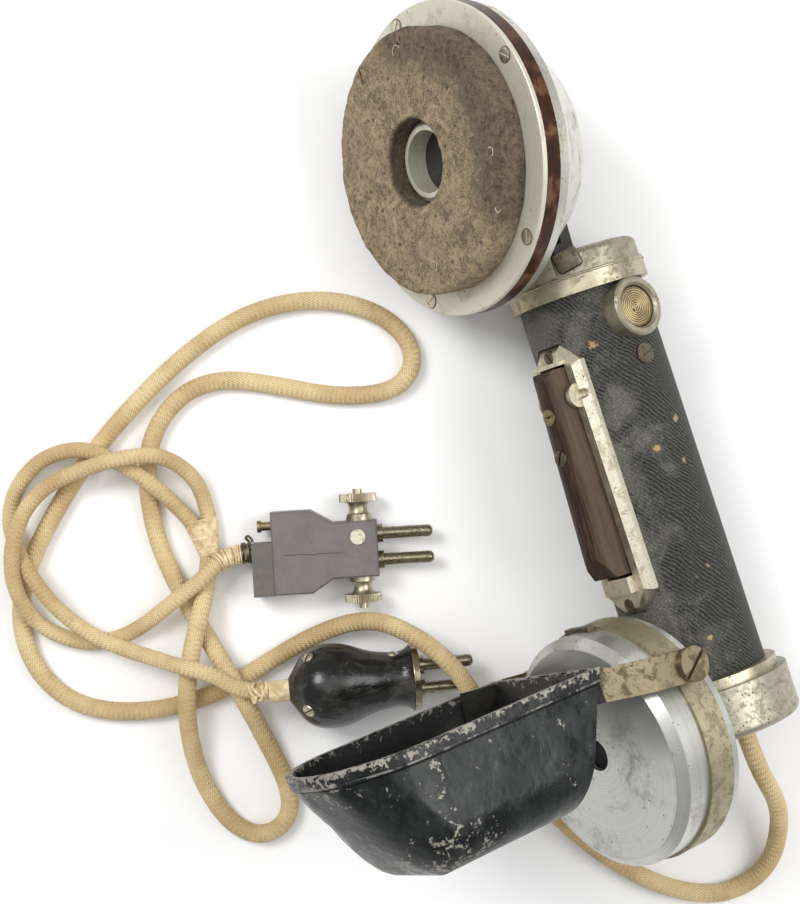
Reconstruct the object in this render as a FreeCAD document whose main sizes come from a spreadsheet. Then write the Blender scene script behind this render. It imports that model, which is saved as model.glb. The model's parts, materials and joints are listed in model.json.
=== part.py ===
import FreeCAD, Part

import math
import os
import re

import Sketcher

# A field telephone's handset: a leather-covered handle with a receiver at one end and a
# capsule microphone with a hinged speaking horn at the other, a braided cord and two plugs.
#
# Handset frame: X forward to the user's head, Y to the side with the call button, Z up the
# handle to the receiver. The whole set is then laid on the floor, rolled on the receiver's rim.

SIZES = {
    # pose of the handset on the floor
    "pose_roll": 35.0,
    # handle
    "fit_gap": 0.05,
    "seat_gap": 0.3,
    "sleeve_radius": 19.9,
    "sleeve_wall": 1.3,
    "sleeve_top": 14.9,
    "sleeve_length": 124.4,
    "core_wall": 1.2,
    "edge_ease": 0.3,
    "cut_over": 5.0,
    "collar_radius": 22.1,
    "collar_height": 5.6,
    "cap_flange_radius": 21.9,
    "cap_flange_height": 0.9,
    "cap_radius": 21.4,
    "cap_height": 6.6,
    "cap_round": 2.2,
    "cap_spigot": 5.0,
    "cap_flat_top": 13.6,
    "cap_flat_fall": 6.2,
    "cap_flat_run": 10.8,
    "band_radius": 23.0,
    "band_height": 3.2,
    "bracket_radius": 25.5,
    "bracket_height": 15.4,
    "bracket_floor": 3.0,
    "bracket_ease": 0.5,
    "bracket_arm_half": 12.0,
    "bracket_arm_drop": 1.0,
    "gland_radius": 5.4,
    "gland_length": 5.0,
    "gland_offset": 9.0,
    "gland_lip": 1.0,
    "gland_inside": 1.0,
    "side_screw_height": -8.8,
    "side_screw_radius": 3.2,
    "side_screw_head": 0.9,
    "side_screw_sink": 0.5,
    "side_screw_shank": 1.6,
    "side_screw_turn": 20.0,
    # call button
    "button_height": 5.6,
    "bezel_radius": 9.2,
    "bezel_top": 24.0,
    "bezel_base": 15.4,
    "bezel_bore": 6.6,
    "bezel_ease": 0.6,
    "bezel_lip_run": 0.7,
    "bezel_lip_drop": 0.9,
    "button_radius": 6.4,
    "button_top": 22.7,
    "button_ease": 0.4,
    "button_flange_radius": 7.6,
    "button_flange_height": 1.8,
    "housing_wall": 1.0,
    "housing_gap": 0.4,
    "housing_floor": 4.5,
    "button_spring_radius": 4.2,
    "button_spring_wall": 0.8,
    # talk lever and its frame
    "lever_width": 11.0,
    "lever_top": 27.4,
    "lever_base": 17.4,
    "lever_start": -5.2,
    "lever_length": 66.0,
    "lever_round_rise": 4.5,
    "lever_round_run": 4.6,
    "lever_nose_drop": 2.4,
    "lever_nose_run": 2.6,
    "lever_scoop": 7.0,
    "lever_scoop_drop": 4.5,
    "lever_screw_radius": 3.0,
    "lever_screw_head": 0.5,
    "lever_screw_first": -18.6,
    "lever_screw_pitch": 13.0,
    "lever_pivot_height": -14.7,
    "lever_pivot_depth": 20.0,
    "lever_pin_radius": 1.5,
    "lever_side_gap": 0.5,
    "lever_cheek": 1.7,
    "lever_end_gap": 0.9,
    "lever_lift": 3.0,
    "frame_half_width": 11.2,
    "frame_tip_half_width": 5.0,
    "frame_top_tip": 2.0,
    "frame_bottom_tip": -84.2,
    "frame_tip_run": 6.4,
    "frame_back": 14.0,
    "frame_crown": 20.4,
    "frame_chamfer": 2.2,
    "frame_block_top": 23.2,
    "frame_block_low_length": 5.0,
    "frame_block_top_length": 1.2,
    "frame_boss_radius": 3.8,
    "frame_screw_radius": 2.1,
    "frame_screw_head": 0.9,
    "frame_screw_sink": 1.1,
    "frame_screw_inset": 3.0,
    "frame_screw_turn": 30.0,
    # receiver
    "ear_sink": 3.9,
    "ear_tilt": 4.5,
    "ring_front": 36.7,
    "ring_radius": 47.6,
    "ring_thickness": 1.4,
    "ring_boss_radius": 12.3,
    "ring_boss_bore": 9.5,
    "ring_boss_height": 5.4,
    "ring_boss_ease": 1.4,
    "fibre_thickness": 5.0,
    "fibre_inner": 40.0,
    "fibre_ledge": 2.4,
    "diaphragm_thickness": 0.5,
    "diaphragm_gap": 0.1,
    "felt_radius": 40.6,
    "felt_top_radius": 39.0,
    "felt_thickness": 11.0,
    "felt_hole": 12.6,
    "felt_straight": 6.6,
    "felt_lip": 0.8,
    "ring_screw_circle": 44.6,
    "ring_screw_radius": 2.6,
    "ring_screw_head": 0.3,
    "ring_screw_start": -30.0,
    "ring_screw_turn": 35.0,
    "shell_radius": 47.0,
    "shell_wall": 1.6,
    "shell_rim": 3.6,
    "shell_shoulder_radius": 39.0,
    "shell_shoulder": 17.6,
    "shell_step_radius": 30.6,
    "shell_step": 7.4,
    "shell_back_radius": 24.0,
    "shell_back": 2.4,
    "shell_ease": 2.0,
    "shell_step_width": 0.8,
    "shell_rim_slope": 4.0,
    "magnet_wall": 8.0,
    "magnet_height": 6.0,
    "magnet_slot": 9.0,
    "pole_spacing": 11.0,
    "pole_width": 12.0,
    "pole_thickness": 3.0,
    "coil_wall": 3.6,
    "coil_height": 9.0,
    "coil_drop": 2.0,
    "pole_gap": 0.8,
    "neck_half_width": 4.6,
    "neck_thickness": 3.6,
    "neck_foot_front": 9.0,
    "neck_foot_height": 4.0,
    "neck_reach": 9.0,
    "neck_swell": 0.6,
    "neck_foot_ease": 1.0,
    # microphone
    "mic_drop": 5.8,
    "mic_face": 50.7,
    "mic_face_radius": 32.8,
    "mic_chamfer": 2.6,
    "mic_radius": 35.8,
    "mic_wall": 1.5,
    "mic_wall_length": 10.4,
    "mic_band_wall": 1.0,
    "mic_band_height": 9.4,
    "mic_rim_height": 3.5,
    "mic_back_floor": 1.6,
    "mic_back_ease": 0.5,
    "mic_sound_radius": 5.0,
    "mic_clip_half": 5.5,
    "mic_clip_length": 3.0,
    "mic_clip_thickness": 1.3,
    "chamber_radius": 13.0,
    "chamber_height": 7.0,
    "chamber_gap": 3.5,
    "mic_diaphragm_thickness": 1.0,
    "insulator_thickness": 3.0,
    "insulator_gap": 2.75,
    "mic_spring_radius": 6.0,
    "mic_spring_wall": 1.0,
    # speaking horn
    "hinge_front": 36.6,
    "hinge_rise": 20.2,
    "horn_back": 61.0,
    "horn_length": 88.0,
    "horn_rim_rise": 28.5,
    "horn_depth": 37.2,
    "horn_half_width": 25.5,
    "horn_shift": 1.5,
    "horn_wall": 1.3,
    "horn_corner": 15.0,
    "horn_bead_height": 4.2,
    "horn_bead_proud": 0.8,
    "horn_throat": 12.0,
    "horn_throat_rise": 5.0,
    "horn_nose_fall": 0.96,
    "horn_nose_power": 1.35,
    "horn_nose_softer": 10.0,
    "horn_lean": 18.0,
    "arm_width": 9.6,
    "arm_thickness": 1.5,
    "arm_inset": 0.5,
    "arm_rim_drop": 0.8,
    "arm_inside_length": 15.0,
    "arm_bend_start": 50.0,
    "lug_radius": 4.4,
    "hinge_pin_radius": 2.0,
    "hinge_screw_radius": 5.2,
    "hinge_screw_head": 2.0,
    "hinge_screw_turn": 35.0,
    "rivet_radius": 2.0,
    "rivet_height": 0.6,
    "rivet_first": 7.0,
    "rivet_pitch": 5.4,
    # inside the handle
    "block_rise": 16.1,
    "block_height": 9.0,
    "terminal_radius": 3.0,
    "terminal_height": 1.4,
    "terminal_front": 4.0,
    "terminal_spacing": 14.0,
    "blade_thickness": 0.4,
    "blade_width": 3.0,
    "blade_length": 36.0,
    "blade_spacing": 5.0,
    "blade_overhang": 7.8,
    # the slots of the screws
    "slot_width": 0.8,
    "slot_depth": 0.35,
    "fine_slot_width": 0.7,
    "fine_slot_depth": 0.2,
    "wide_slot_width": 1.1,
    "wide_slot_depth": 0.9,
    # flat plug
    "plug_height": 13.0,
    "plug_split": 9.0,
    "plug_rear_half": 13.4,
    "plug_front_half": 9.0,
    "plug_rear_start": -1.0,
    "plug_rear_end": 11.5,
    "plug_front_start": 18.5,
    "plug_front_end": 33.0,
    "plug_axis_height": 6.5,
    "plug_wall": 3.0,
    "plug_inlet_across": 0.6,
    "plug_ease": 0.5,
    "pin_radius": 1.95,
    "pin_length": 18.0,
    "pin_inside": 6.0,
    "pin_tip_round": 0.8,
    "pin_slot": 0.5,
    "pin_slot_depth": 0.6,
    "pin_slot_turn": 18.0,
    "pin_solid": 4.5,
    "pin_collar_radius": 2.9,
    "pin_collar_length": 1.8,
    "flat_pin_high": 4.5,
    "flat_pin_low": -4.0,
    "clamp_length": 6.6,
    "clamp_low": -13.6,
    "clamp_high": 3.6,
    "socket_radius": 1.45,
    "socket_flare": 2.0,
    "socket_length": 4.7,
    "socket_wall": 0.5,
    "socket_flare_length": 1.2,
    "socket_across": 8.9,
    "plug_screw_radius": 2.45,
    "plug_screw_head": 0.6,
    "plug_screw_turn": 84.0,
    "nut_along": 27.3,
    "washer_radius": 4.1,
    "washer_height": 1.2,
    "nut_neck_radius": 2.6,
    "nut_neck_height": 4.7,
    "nut_disc_radius": 6.1,
    "nut_disc_height": 2.9,
    "stud_radius": 1.5,
    "stud_proud": 1.5,
    "stud_inside": 1.9,
    "nut_foot_height": 1.2,
    "nut_ease": 0.4,
    "flat_turn": -14.6,
    "flat_across": -117.43,
    "flat_along": -33.02,
    # pear plug
    "pear_wall": 3.0,
    "pear_slope": 5.2,
    "pear_turn": -12.8,
    "pear_across": -126.46,
    "pear_along": -75.65,
    "pear_rear_height": 14.7,
    "pear_length": 39.4,
    "pear_radius": 13.5,
    "pear_bore": 6.0,
    "pear_cord_bore": 2.2,
    "pear_plate_radius": 10.6,
    "pear_plate_height": 2.4,
    "pear_pin_spacing": 7.6,
    # cords
    "cord_radius": 2.95,
    "branch_radius": 2.55,
    "cord_lead": 13.0,
    "flat_lead": 9.0,
    "flat_lead_rise": 0.4,
    "pear_lead": 13.5,
    "coil_radius": 3.7,
    "coil_length": 2.6,
    "whipping_length": 6.5,
    "whipping_wall": 1.0,
    "split_half_width": 5.6,
    "split_half_height": 3.0,
}

doc = FreeCAD.newDocument("FieldTelephone")
sizes = doc.addObject("Spreadsheet::Sheet", "Sizes")
for row, (alias, amount) in enumerate(SIZES.items(), start=1):
    sizes.set(f"A{row}", alias)
    sizes.set(f"B{row}", str(amount))
    sizes.setAlias(f"B{row}", alias)
doc.recompute()


def bound(text):
    """Point the words of a size expression at the sheet."""
    return re.sub(r"\b([a-z]+_[a-z_]+)\b", r"Sizes.\1", str(text))


def size(text):
    """The number that a size expression has now, in millimetres or degrees."""
    return float(sizes.evalExpression(bound(text)))


def vector(x, y, z):
    return FreeCAD.Vector(size(x), size(y), size(z))


FORWARD = FreeCAD.Vector(1, 0, 0)
SIDEWAYS = FreeCAD.Vector(0, 1, 0)
UPWARD = FreeCAD.Vector(0, 0, 1)

# ---- helpers for Part Design bodies -------------------------------------------------------


def new_body(label):
    body = doc.addObject("PartDesign::Body", label)
    body.Label = label
    return body


def new_sketch(body, plane, offset="0"):
    """A sketch on one of the body's own origin planes, moved along its normal."""
    support = next(item for item in body.Origin.OriginFeatures if item.Role == plane)
    sketch = body.newObject("Sketcher::SketchObject", body.Label + "_sketch")
    sketch.AttachmentSupport = [(support, "")]
    sketch.MapMode = "FlatFace"
    sketch.setExpression(".AttachmentOffset.Base.z", bound(offset))
    return sketch


def pin_point(sketch, edge, place, across, up):
    """Tie a point of the sketch to two size expressions."""
    for kind, text in (("DistanceX", across), ("DistanceY", up)):
        index = sketch.addConstraint(Sketcher.Constraint(kind, -1, 1, edge, place, size(text)))
        sketch.setExpression(f"Constraints[{index}]", bound(text))


def draw_outline(sketch, corners):
    """A closed outline of straight edges through corners given as size expressions."""
    points = [FreeCAD.Vector(size(across), size(up), 0) for across, up in corners]
    first = sketch.GeometryCount
    count = len(points)
    for index in range(count):
        edge = Part.LineSegment(points[index], points[(index + 1) % count])
        sketch.addGeometry(edge, False)
    for index in range(count):
        following = first + (index + 1) % count
        sketch.addConstraint(Sketcher.Constraint("Coincident", first + index, 2, following, 1))
    for index, (across, up) in enumerate(corners):
        pin_point(sketch, first + index, 1, across, up)


def draw_circle(sketch, radius, across="0", up="0"):
    centre = FreeCAD.Vector(size(across), size(up), 0)
    edge = sketch.addGeometry(Part.Circle(centre, FreeCAD.Vector(0, 0, 1), size(radius)), False)
    index = sketch.addConstraint(Sketcher.Constraint("Radius", edge, size(radius)))
    sketch.setExpression(f"Constraints[{index}]", bound(radius))
    pin_point(sketch, edge, 3, across, up)


def rectangle(left, right, low, high):
    return [(left, low), (right, low), (right, high), (left, high)]


def revolve(body, corners):
    """Turn an outline in the body's X-Z plane about its Z axis."""
    sketch = new_sketch(body, "XZ_Plane")
    draw_outline(sketch, corners)
    feature = body.newObject("PartDesign::Revolution", body.Label + "_turned")
    feature.Profile = sketch
    feature.ReferenceAxis = (sketch, ["V_Axis"])
    feature.Angle = 360
    doc.recompute()
    return feature


def turned(label, corners):
    body = new_body(label)
    revolve(body, corners)
    return body


def pad(body, plane, length, corners=None, circles=(), offset="0", both_ways=False):
    """Pad an outline or circles along the plane's normal."""
    sketch = new_sketch(body, plane, offset)
    if corners:
        draw_outline(sketch, corners)
    for circle in circles:
        draw_circle(sketch, *circle)
    feature = body.newObject("PartDesign::Pad", body.Label + "_pad")
    feature.Profile = sketch
    feature.setExpression("Length", bound(length))
    feature.Midplane = both_ways
    doc.recompute()
    return feature


def pocket(body, plane, length, corners=None, circles=(), offset="0", both_ways=False, flip=False):
    """Cut an outline or circles; flip cuts along the plane's normal in place of against it."""
    before = body.Shape.Volume
    sketch = new_sketch(body, plane, offset)
    if corners:
        draw_outline(sketch, corners)
    for circle in circles:
        draw_circle(sketch, *circle)
    feature = body.newObject("PartDesign::Pocket", body.Label + "_pocket")
    feature.Profile = sketch
    feature.setExpression("Length", bound(length))
    feature.Midplane = both_ways
    feature.Reversed = flip
    doc.recompute()
    if body.Shape.Volume > before - 0.01:
        raise RuntimeError(f"a pocket of {body.Label} cuts nothing")
    return feature


def edge_names(feature, chosen):
    edges = enumerate(feature.Shape.Edges, start=1)
    return [f"Edge{index}" for index, edge in edges if chosen(edge)]


def round_edges(body, feature, radius, chosen):
    """Fillet the edges of a feature that pass a test."""
    fillet = body.newObject("PartDesign::Fillet", body.Label + "_fillet")
    fillet.Base = (feature, edge_names(feature, chosen))
    fillet.setExpression("Radius", bound(radius))
    doc.recompute()


def bevel_edges(body, feature, width, chosen):
    """Chamfer the edges of a feature that pass a test."""
    chamfer = body.newObject("PartDesign::Chamfer", body.Label + "_chamfer")
    chamfer.Base = (feature, edge_names(feature, chosen))
    chamfer.setExpression("Size", bound(width))
    doc.recompute()


def level_circle(height, radius):
    """A test for a horizontal circular edge at a height, at least as large as the radius."""

    def test(edge):
        box = edge.BoundBox
        is_round = isinstance(edge.Curve, Part.Circle)
        return is_round and abs(box.ZMin - size(height)) < 0.01 and edge.Curve.Radius > size(radius) - 0.01

    return test


def made_of(label, shape):
    """A sub-part whose form is made with Part's own functions."""
    feature = doc.addObject("Part::Feature", label)
    feature.Label = label
    if not shape.Placement.isIdentity():
        shape = Part.makeCompound([shape])
    feature.Shape = shape
    return feature


def several(label, shapes):
    """Identical small pieces that share a node, as separate solids."""
    return made_of(label, Part.makeCompound(shapes))


# ---- places of the assemblies in the handset frame ----------------------------------------

along_handle = FreeCAD.Placement()


def facing_forward(height, tilt="0"):
    """A frame whose Z looks forward and whose X looks down the handle."""
    turn = FreeCAD.Rotation(FreeCAD.Vector(0, 1, 0), 90 - size(tilt))
    return FreeCAD.Placement(vector("0", "0", height), turn)


def facing_side(height):
    """A frame whose Z looks to the call button's side."""
    turn = FreeCAD.Rotation(FreeCAD.Vector(1, 0, 0), -90)
    return FreeCAD.Placement(vector("0", "0", height), turn)


handset = []


def place(item, placement=along_handle):
    """Put a sub-part at its assembly's place in the handset."""
    item.Placement = placement
    handset.append(item)
    return item


# ---- handle -------------------------------------------------------------------------------

core_radius = "(sleeve_radius - sleeve_wall - fit_gap)"
core_bore = "(sleeve_radius - sleeve_wall - fit_gap - core_wall)"
sleeve_low = "(sleeve_top - sleeve_length)"
collar_top = "(sleeve_top + collar_height)"
cap_top = "(sleeve_top + collar_height + cap_flange_height + cap_height)"
band_low = "(sleeve_top - sleeve_length - band_height)"
bracket_low = "(sleeve_top - sleeve_length - band_height - bracket_height)"
block_low = f"({bracket_low} + block_rise)"
ear_height = f"({cap_top} + shell_shoulder_radius - ear_sink)"
mic_height = f"({band_low} - mic_drop)"
hinge_height = f"({mic_height} + hinge_rise)"
horn_rim = f"({mic_height} + horn_rim_rise)"
band_radius = "(mic_radius + mic_band_wall)"
arm_inner = "(mic_radius - arm_inset)"
receiver_place = facing_forward(ear_height, "ear_tilt")
mic_place = facing_forward(mic_height)
button_place = facing_side("button_height")
shoulder_top = "(frame_top_tip - frame_tip_run)"
shoulder_low = "(frame_bottom_tip + frame_tip_run)"


def frame_plan(margin):
    """The lever frame's six-sided plan in the Y-Z plane, grown by a margin."""
    side = f"(frame_half_width + {margin})"
    tip = f"(frame_tip_half_width + {margin})"
    top = f"(frame_top_tip + {margin})"
    low = f"(frame_bottom_tip - {margin})"
    return [
        (f"-{tip}", top),
        (f"-{side}", shoulder_top),
        (f"-{side}", shoulder_low),
        (f"-{tip}", low),
        (tip, low),
        (side, shoulder_low),
        (side, shoulder_top),
        (tip, top),
    ]


def cut_handle_openings(body):
    """The openings for the lever's frame, the call button and the side screw's shank."""
    through = "sleeve_radius + cut_over"
    pocket(body, "YZ_Plane", through, frame_plan("fit_gap"), flip=True)
    pocket(body, "XZ_Plane", through, circles=[("bezel_radius + fit_gap", "0", "button_height")])
    shank = [("side_screw_shank + fit_gap", "0", "side_screw_height")]
    pocket(body, "XZ_Plane", through, circles=shank)


def make_grip_sleeve():
    body = turned(
        "grip_sleeve",
        rectangle("sleeve_radius - sleeve_wall", "sleeve_radius", sleeve_low, "sleeve_top"),
    )
    cut_handle_openings(body)
    seat = [("side_screw_radius + fit_gap", "0", "side_screw_height")]
    pocket(body, "XZ_Plane", "cut_over", circles=seat, offset="-(sleeve_radius - side_screw_sink)")
    return place(body)


def make_core_tube():
    body = turned(
        "core_tube",
        rectangle(core_bore, core_radius, f"{bracket_low} + bracket_floor + fit_gap", collar_top),
    )
    cut_handle_openings(body)
    return place(body)


def make_handle_fittings():
    place(
        turned(
            "top_collar",
            rectangle(f"{core_radius} + fit_gap", "collar_radius", "sleeve_top", collar_top),
        )
    )
    cap = turned(
        "top_cap",
        [
            ("0", f"{collar_top} - cap_spigot"),
            (f"{core_bore} - fit_gap", f"{collar_top} - cap_spigot"),
            (f"{core_bore} - fit_gap", collar_top),
            ("cap_flange_radius", collar_top),
            ("cap_flange_radius", f"{collar_top} + cap_flange_height"),
            ("cap_radius", f"{collar_top} + cap_flange_height"),
            ("cap_radius", cap_top),
            ("0", cap_top),
        ],
    )
    round_edges(cap, cap.Tip, "cap_round", level_circle(cap_top, "cap_radius"))
    clearance = [
        ("cap_flat_top", f"{cap_top} + 1"),
        ("cap_flat_top + cap_flat_run", f"{cap_top} + 1"),
        ("cap_flat_top + cap_flat_run", f"{cap_top} - cap_flat_fall"),
    ]
    pocket(cap, "XZ_Plane", "3*cap_radius", clearance, both_ways=True)
    place(cap)
    place(
        turned(
            "bottom_band",
            rectangle(f"{core_radius} + fit_gap", "band_radius", band_low, sleeve_low),
        )
    )


def make_end_bracket():
    body = turned(
        "end_bracket",
        [
            ("0", bracket_low),
            ("bracket_radius", bracket_low),
            ("bracket_radius", band_low),
            (f"{core_radius} + fit_gap", band_low),
            (f"{core_radius} + fit_gap", f"{bracket_low} + bracket_floor"),
            ("0", f"{bracket_low} + bracket_floor"),
        ],
    )
    outer = level_circle(bracket_low, "bracket_radius")
    round_edges(body, body.Tip, "bracket_floor - bracket_ease", outer)
    arm_low = f"{bracket_low} + bracket_floor"
    arm = rectangle("-bracket_arm_half", "bracket_arm_half", arm_low, f"{band_low} - bracket_arm_drop")
    pad(
        body,
        "YZ_Plane",
        "mic_face - mic_wall_length - mic_band_height - mic_rim_height - sleeve_radius + sleeve_wall",
        arm,
        offset="sleeve_radius - sleeve_wall",
    )
    gland_hole = [("gland_radius - gland_lip", "-gland_offset", "0")]
    pocket(body, "XY_Plane", "bracket_floor", circles=gland_hole, offset=bracket_low, flip=True)
    return place(body)


def make_cord_gland():
    """The bush that the cord leaves through; its bore holds the cord's end."""
    body = new_body("cord_gland")
    pad(
        body,
        "XY_Plane",
        "gland_length - bracket_floor",
        circles=[("gland_radius", "-gland_offset", "0")],
        offset=f"{bracket_low} - gland_length + bracket_floor",
    )
    pad(
        body,
        "XY_Plane",
        "bracket_floor + gland_inside",
        circles=[("gland_radius - gland_lip - fit_gap", "-gland_offset", "0")],
        offset=bracket_low,
    )
    return place(body)


def slotted_screw(radius, height, shank_radius="0", shank_length="0", slot="slot"):
    """A round screw along Z with its head's underside at the origin."""
    width = size(f"{slot}_width")
    depth = size(f"{slot}_depth")
    reach = size(radius)
    corner = FreeCAD.Vector(-reach, -width / 2, size(height) - depth)
    head = Part.makeCylinder(reach, size(height))
    screw = head.cut(Part.makeBox(2 * reach, width, 2 * depth, corner))
    if size(shank_length) > 0:
        foot = FreeCAD.Vector(0, 0, -size(shank_length))
        shank = Part.makeCylinder(size(shank_radius), size(shank_length), foot)
        screw = screw.fuse(shank).removeSplitter()
    return screw


def at(shape, centre, direction, turn=0.0):
    """Put a shape made along Z at a centre, looking in a direction, turned about itself."""
    aim = FreeCAD.Rotation(FreeCAD.Vector(0, 0, 1), direction)
    spin = FreeCAD.Rotation(FreeCAD.Vector(0, 0, 1), turn)
    copy = shape.copy()
    copy.Placement = FreeCAD.Placement(centre, aim.multiply(spin))
    return copy


# ---- call button, along its own axis ------------------------------------------------------

button_base = "(bezel_base - seat_gap - button_flange_height)"
housing_outer = "(bezel_radius - housing_gap)"


def make_call_button():
    place(
        turned(
            "button_bezel",
            [
                ("bezel_bore", "bezel_base"),
                ("bezel_radius", "bezel_base"),
                ("bezel_radius", "bezel_top - bezel_ease"),
                ("bezel_radius - bezel_ease", "bezel_top"),
                ("bezel_bore + bezel_lip_run", "bezel_top"),
                ("bezel_bore", "bezel_top - bezel_lip_drop"),
            ],
        ),
        button_place,
    )
    place(
        turned(
            "call_button",
            [
                ("0", button_base),
                ("button_flange_radius", button_base),
                ("button_flange_radius", f"{button_base} + button_flange_height"),
                ("button_radius", f"{button_base} + button_flange_height"),
                ("button_radius", "button_top - button_ease"),
                ("button_radius - button_ease", "button_top"),
                ("0", "button_top"),
            ],
        ),
        button_place,
    )
    place(
        turned(
            "button_housing",
            [
                ("0", "housing_floor"),
                (housing_outer, "housing_floor"),
                (housing_outer, "bezel_base"),
                (f"{housing_outer} - housing_wall", "bezel_base"),
                (f"{housing_outer} - housing_wall", "housing_floor + housing_wall"),
                ("0", "housing_floor + housing_wall"),
            ],
        ),
        button_place,
    )
    place(
        turned(
            "button_spring",
            rectangle(
                "button_spring_radius - button_spring_wall",
                "button_spring_radius",
                "housing_floor + housing_wall",
                button_base,
            ),
        ),
        button_place,
    )


# ---- talk lever and its frame -------------------------------------------------------------

lever_low = "(lever_start - lever_length)"
slot_half = "(lever_width/2 + lever_side_gap)"
slot_top = "(lever_start + lever_end_gap)"
slot_low = "(lever_start - lever_length - lever_end_gap)"
frame_screw_heights = ("frame_top_tip - frame_screw_inset", "frame_bottom_tip + frame_screw_inset")


def make_lever_frame():
    """A six-sided plate let into the leather, with a slot and a raised block at each end."""
    body = new_body("lever_frame")
    plate = pad(body, "YZ_Plane", "frame_crown - frame_back", frame_plan("0"), offset="frame_back")

    def crown_edge(edge):
        return edge.BoundBox.XMin > size("frame_crown") - 0.01

    bevel_edges(body, plate, "frame_chamfer", crown_edge)
    for low, high in (
        (f"{slot_low} - frame_block_low_length", slot_low),
        (slot_top, f"{slot_top} + frame_block_top_length"),
    ):
        block = rectangle(f"-{slot_half}", slot_half, low, high)
        pad(body, "YZ_Plane", "frame_block_top - frame_back", block, offset="frame_back")
    boss = [("frame_boss_radius", "lever_pivot_depth", "lever_pivot_height")]
    pad(body, "XZ_Plane", f"2*({slot_half} + lever_cheek)", circles=boss, both_ways=True)
    slot = rectangle(f"-{slot_half}", slot_half, slot_low, slot_top)
    pocket(body, "YZ_Plane", "frame_block_top + cut_over", slot, flip=True)
    for height in frame_screw_heights:
        seat = [("frame_screw_radius + fit_gap", "0", height)]
        base = "frame_crown - frame_screw_sink"
        pocket(body, "YZ_Plane", "cut_over", circles=seat, offset=base, flip=True)
    pocket(
        body,
        "XZ_Plane",
        "4*frame_half_width",
        circles=[("lever_pin_radius + fit_gap", "lever_pivot_depth", "lever_pivot_height")],
        both_ways=True,
    )
    return place(body)


def lifted(pivot_front, pivot_height, lift):
    """A turn about a sideways pivot that raises what lies below it."""
    pivot = vector(pivot_front, "0", pivot_height)
    turn = FreeCAD.Rotation(SIDEWAYS, -size(lift))
    return FreeCAD.Placement(pivot - turn.multVec(pivot), turn)


lever_place = lifted("lever_pivot_depth", "lever_pivot_height", "lever_lift")


def make_talk_lever():
    """A half-round bar whose lower end is scooped for the finger."""
    body = new_body("talk_lever")
    flank = []
    for angle in (0, 30, 60, 90):
        height = f"lever_top - lever_round_rise*(1 - sin({angle}))"
        across = f"(lever_width/2 - lever_round_run*(1 - cos({angle})))"
        flank.append((height, across))
    profile = [("lever_base", "-lever_width/2")]
    profile += [(height, f"-{across}") for height, across in flank]
    profile += flank[::-1]
    profile += [("lever_base", "lever_width/2")]
    pad(body, "XY_Plane", "lever_length", profile, offset=lever_low)
    scoop = [
        ("lever_top", f"{lever_low} + lever_scoop"),
        ("lever_top - lever_scoop_drop", lever_low),
        ("lever_top + lever_scoop_drop", lever_low),
    ]
    pocket(body, "XZ_Plane", "2*lever_width", scoop, both_ways=True)
    nose = [
        ("lever_top - lever_nose_drop", "lever_start"),
        ("lever_top + lever_nose_drop", "lever_start"),
        ("lever_top", "lever_start - lever_nose_run"),
    ]
    pocket(body, "XZ_Plane", "2*lever_width", nose, both_ways=True)
    pocket(
        body,
        "XZ_Plane",
        "2*lever_width",
        circles=[("lever_pin_radius + fit_gap", "lever_pivot_depth", "lever_pivot_height")],
        both_ways=True,
    )
    return place(body, lever_place)


# ---- receiver, along its listening axis ---------------------------------------------------

fibre_back = "(ring_front - ring_thickness - fibre_thickness)"
fibre_front = "(ring_front - ring_thickness)"


def make_receiver():
    place(
        turned(
            "receiver_cap",
            [
                ("ring_boss_bore", fibre_front),
                ("ring_radius", fibre_front),
                ("ring_radius", "ring_front - edge_ease"),
                ("ring_radius - edge_ease", "ring_front"),
                ("ring_boss_radius", "ring_front"),
                ("ring_boss_radius", "ring_front + ring_boss_height - ring_boss_ease"),
                ("ring_boss_radius - ring_boss_ease", "ring_front + ring_boss_height"),
                ("ring_boss_bore", "ring_front + ring_boss_height"),
            ],
        ),
        receiver_place,
    )
    place(
        turned(
            "fibre_ring",
            [
                ("fibre_inner - fibre_ledge", fibre_back),
                ("ring_radius", fibre_back),
                ("ring_radius", fibre_front),
                ("fibre_inner", fibre_front),
                ("fibre_inner", f"{fibre_front} - diaphragm_thickness - 2*diaphragm_gap"),
                ("fibre_inner - fibre_ledge", f"{fibre_front} - diaphragm_thickness - 2*diaphragm_gap"),
            ],
        ),
        receiver_place,
    )
    place(
        turned(
            "receiver_diaphragm",
            rectangle(
                "0",
                "fibre_inner - diaphragm_gap",
                f"{fibre_front} - diaphragm_thickness - diaphragm_gap",
                f"{fibre_front} - diaphragm_gap",
            ),
        ),
        receiver_place,
    )
    pad_body = turned(
        "ear_pad",
        [
            ("felt_hole", "ring_front"),
            ("felt_radius", "ring_front"),
            ("felt_radius", "ring_front + felt_straight"),
            ("felt_top_radius", "ring_front + felt_thickness"),
            ("felt_hole + felt_lip", "ring_front + felt_thickness"),
            ("felt_hole", "ring_front + felt_thickness - felt_lip"),
        ],
    )
    place(pad_body, receiver_place)
    place(
        turned(
            "receiver_shell",
            [
                ("0", "shell_back"),
                ("shell_back_radius", "shell_back"),
                ("shell_back_radius + shell_ease", "shell_back + shell_ease/2"),
                ("shell_step_radius", "shell_step"),
                ("shell_step_radius + shell_step_width", "shell_step"),
                ("shell_shoulder_radius", "shell_shoulder"),
                ("shell_radius", f"{fibre_back} - shell_rim"),
                ("shell_radius", fibre_back),
                ("fibre_inner - fibre_ledge", fibre_back),
                ("fibre_inner - fibre_ledge", f"{fibre_back} - shell_rim - shell_rim_slope"),
                ("shell_step_radius - shell_wall", "shell_step + shell_wall + shell_step_width"),
                ("shell_back_radius - edge_ease", "shell_back + shell_wall"),
                ("0", "shell_back + shell_wall"),
            ],
        ),
        receiver_place,
    )


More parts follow.
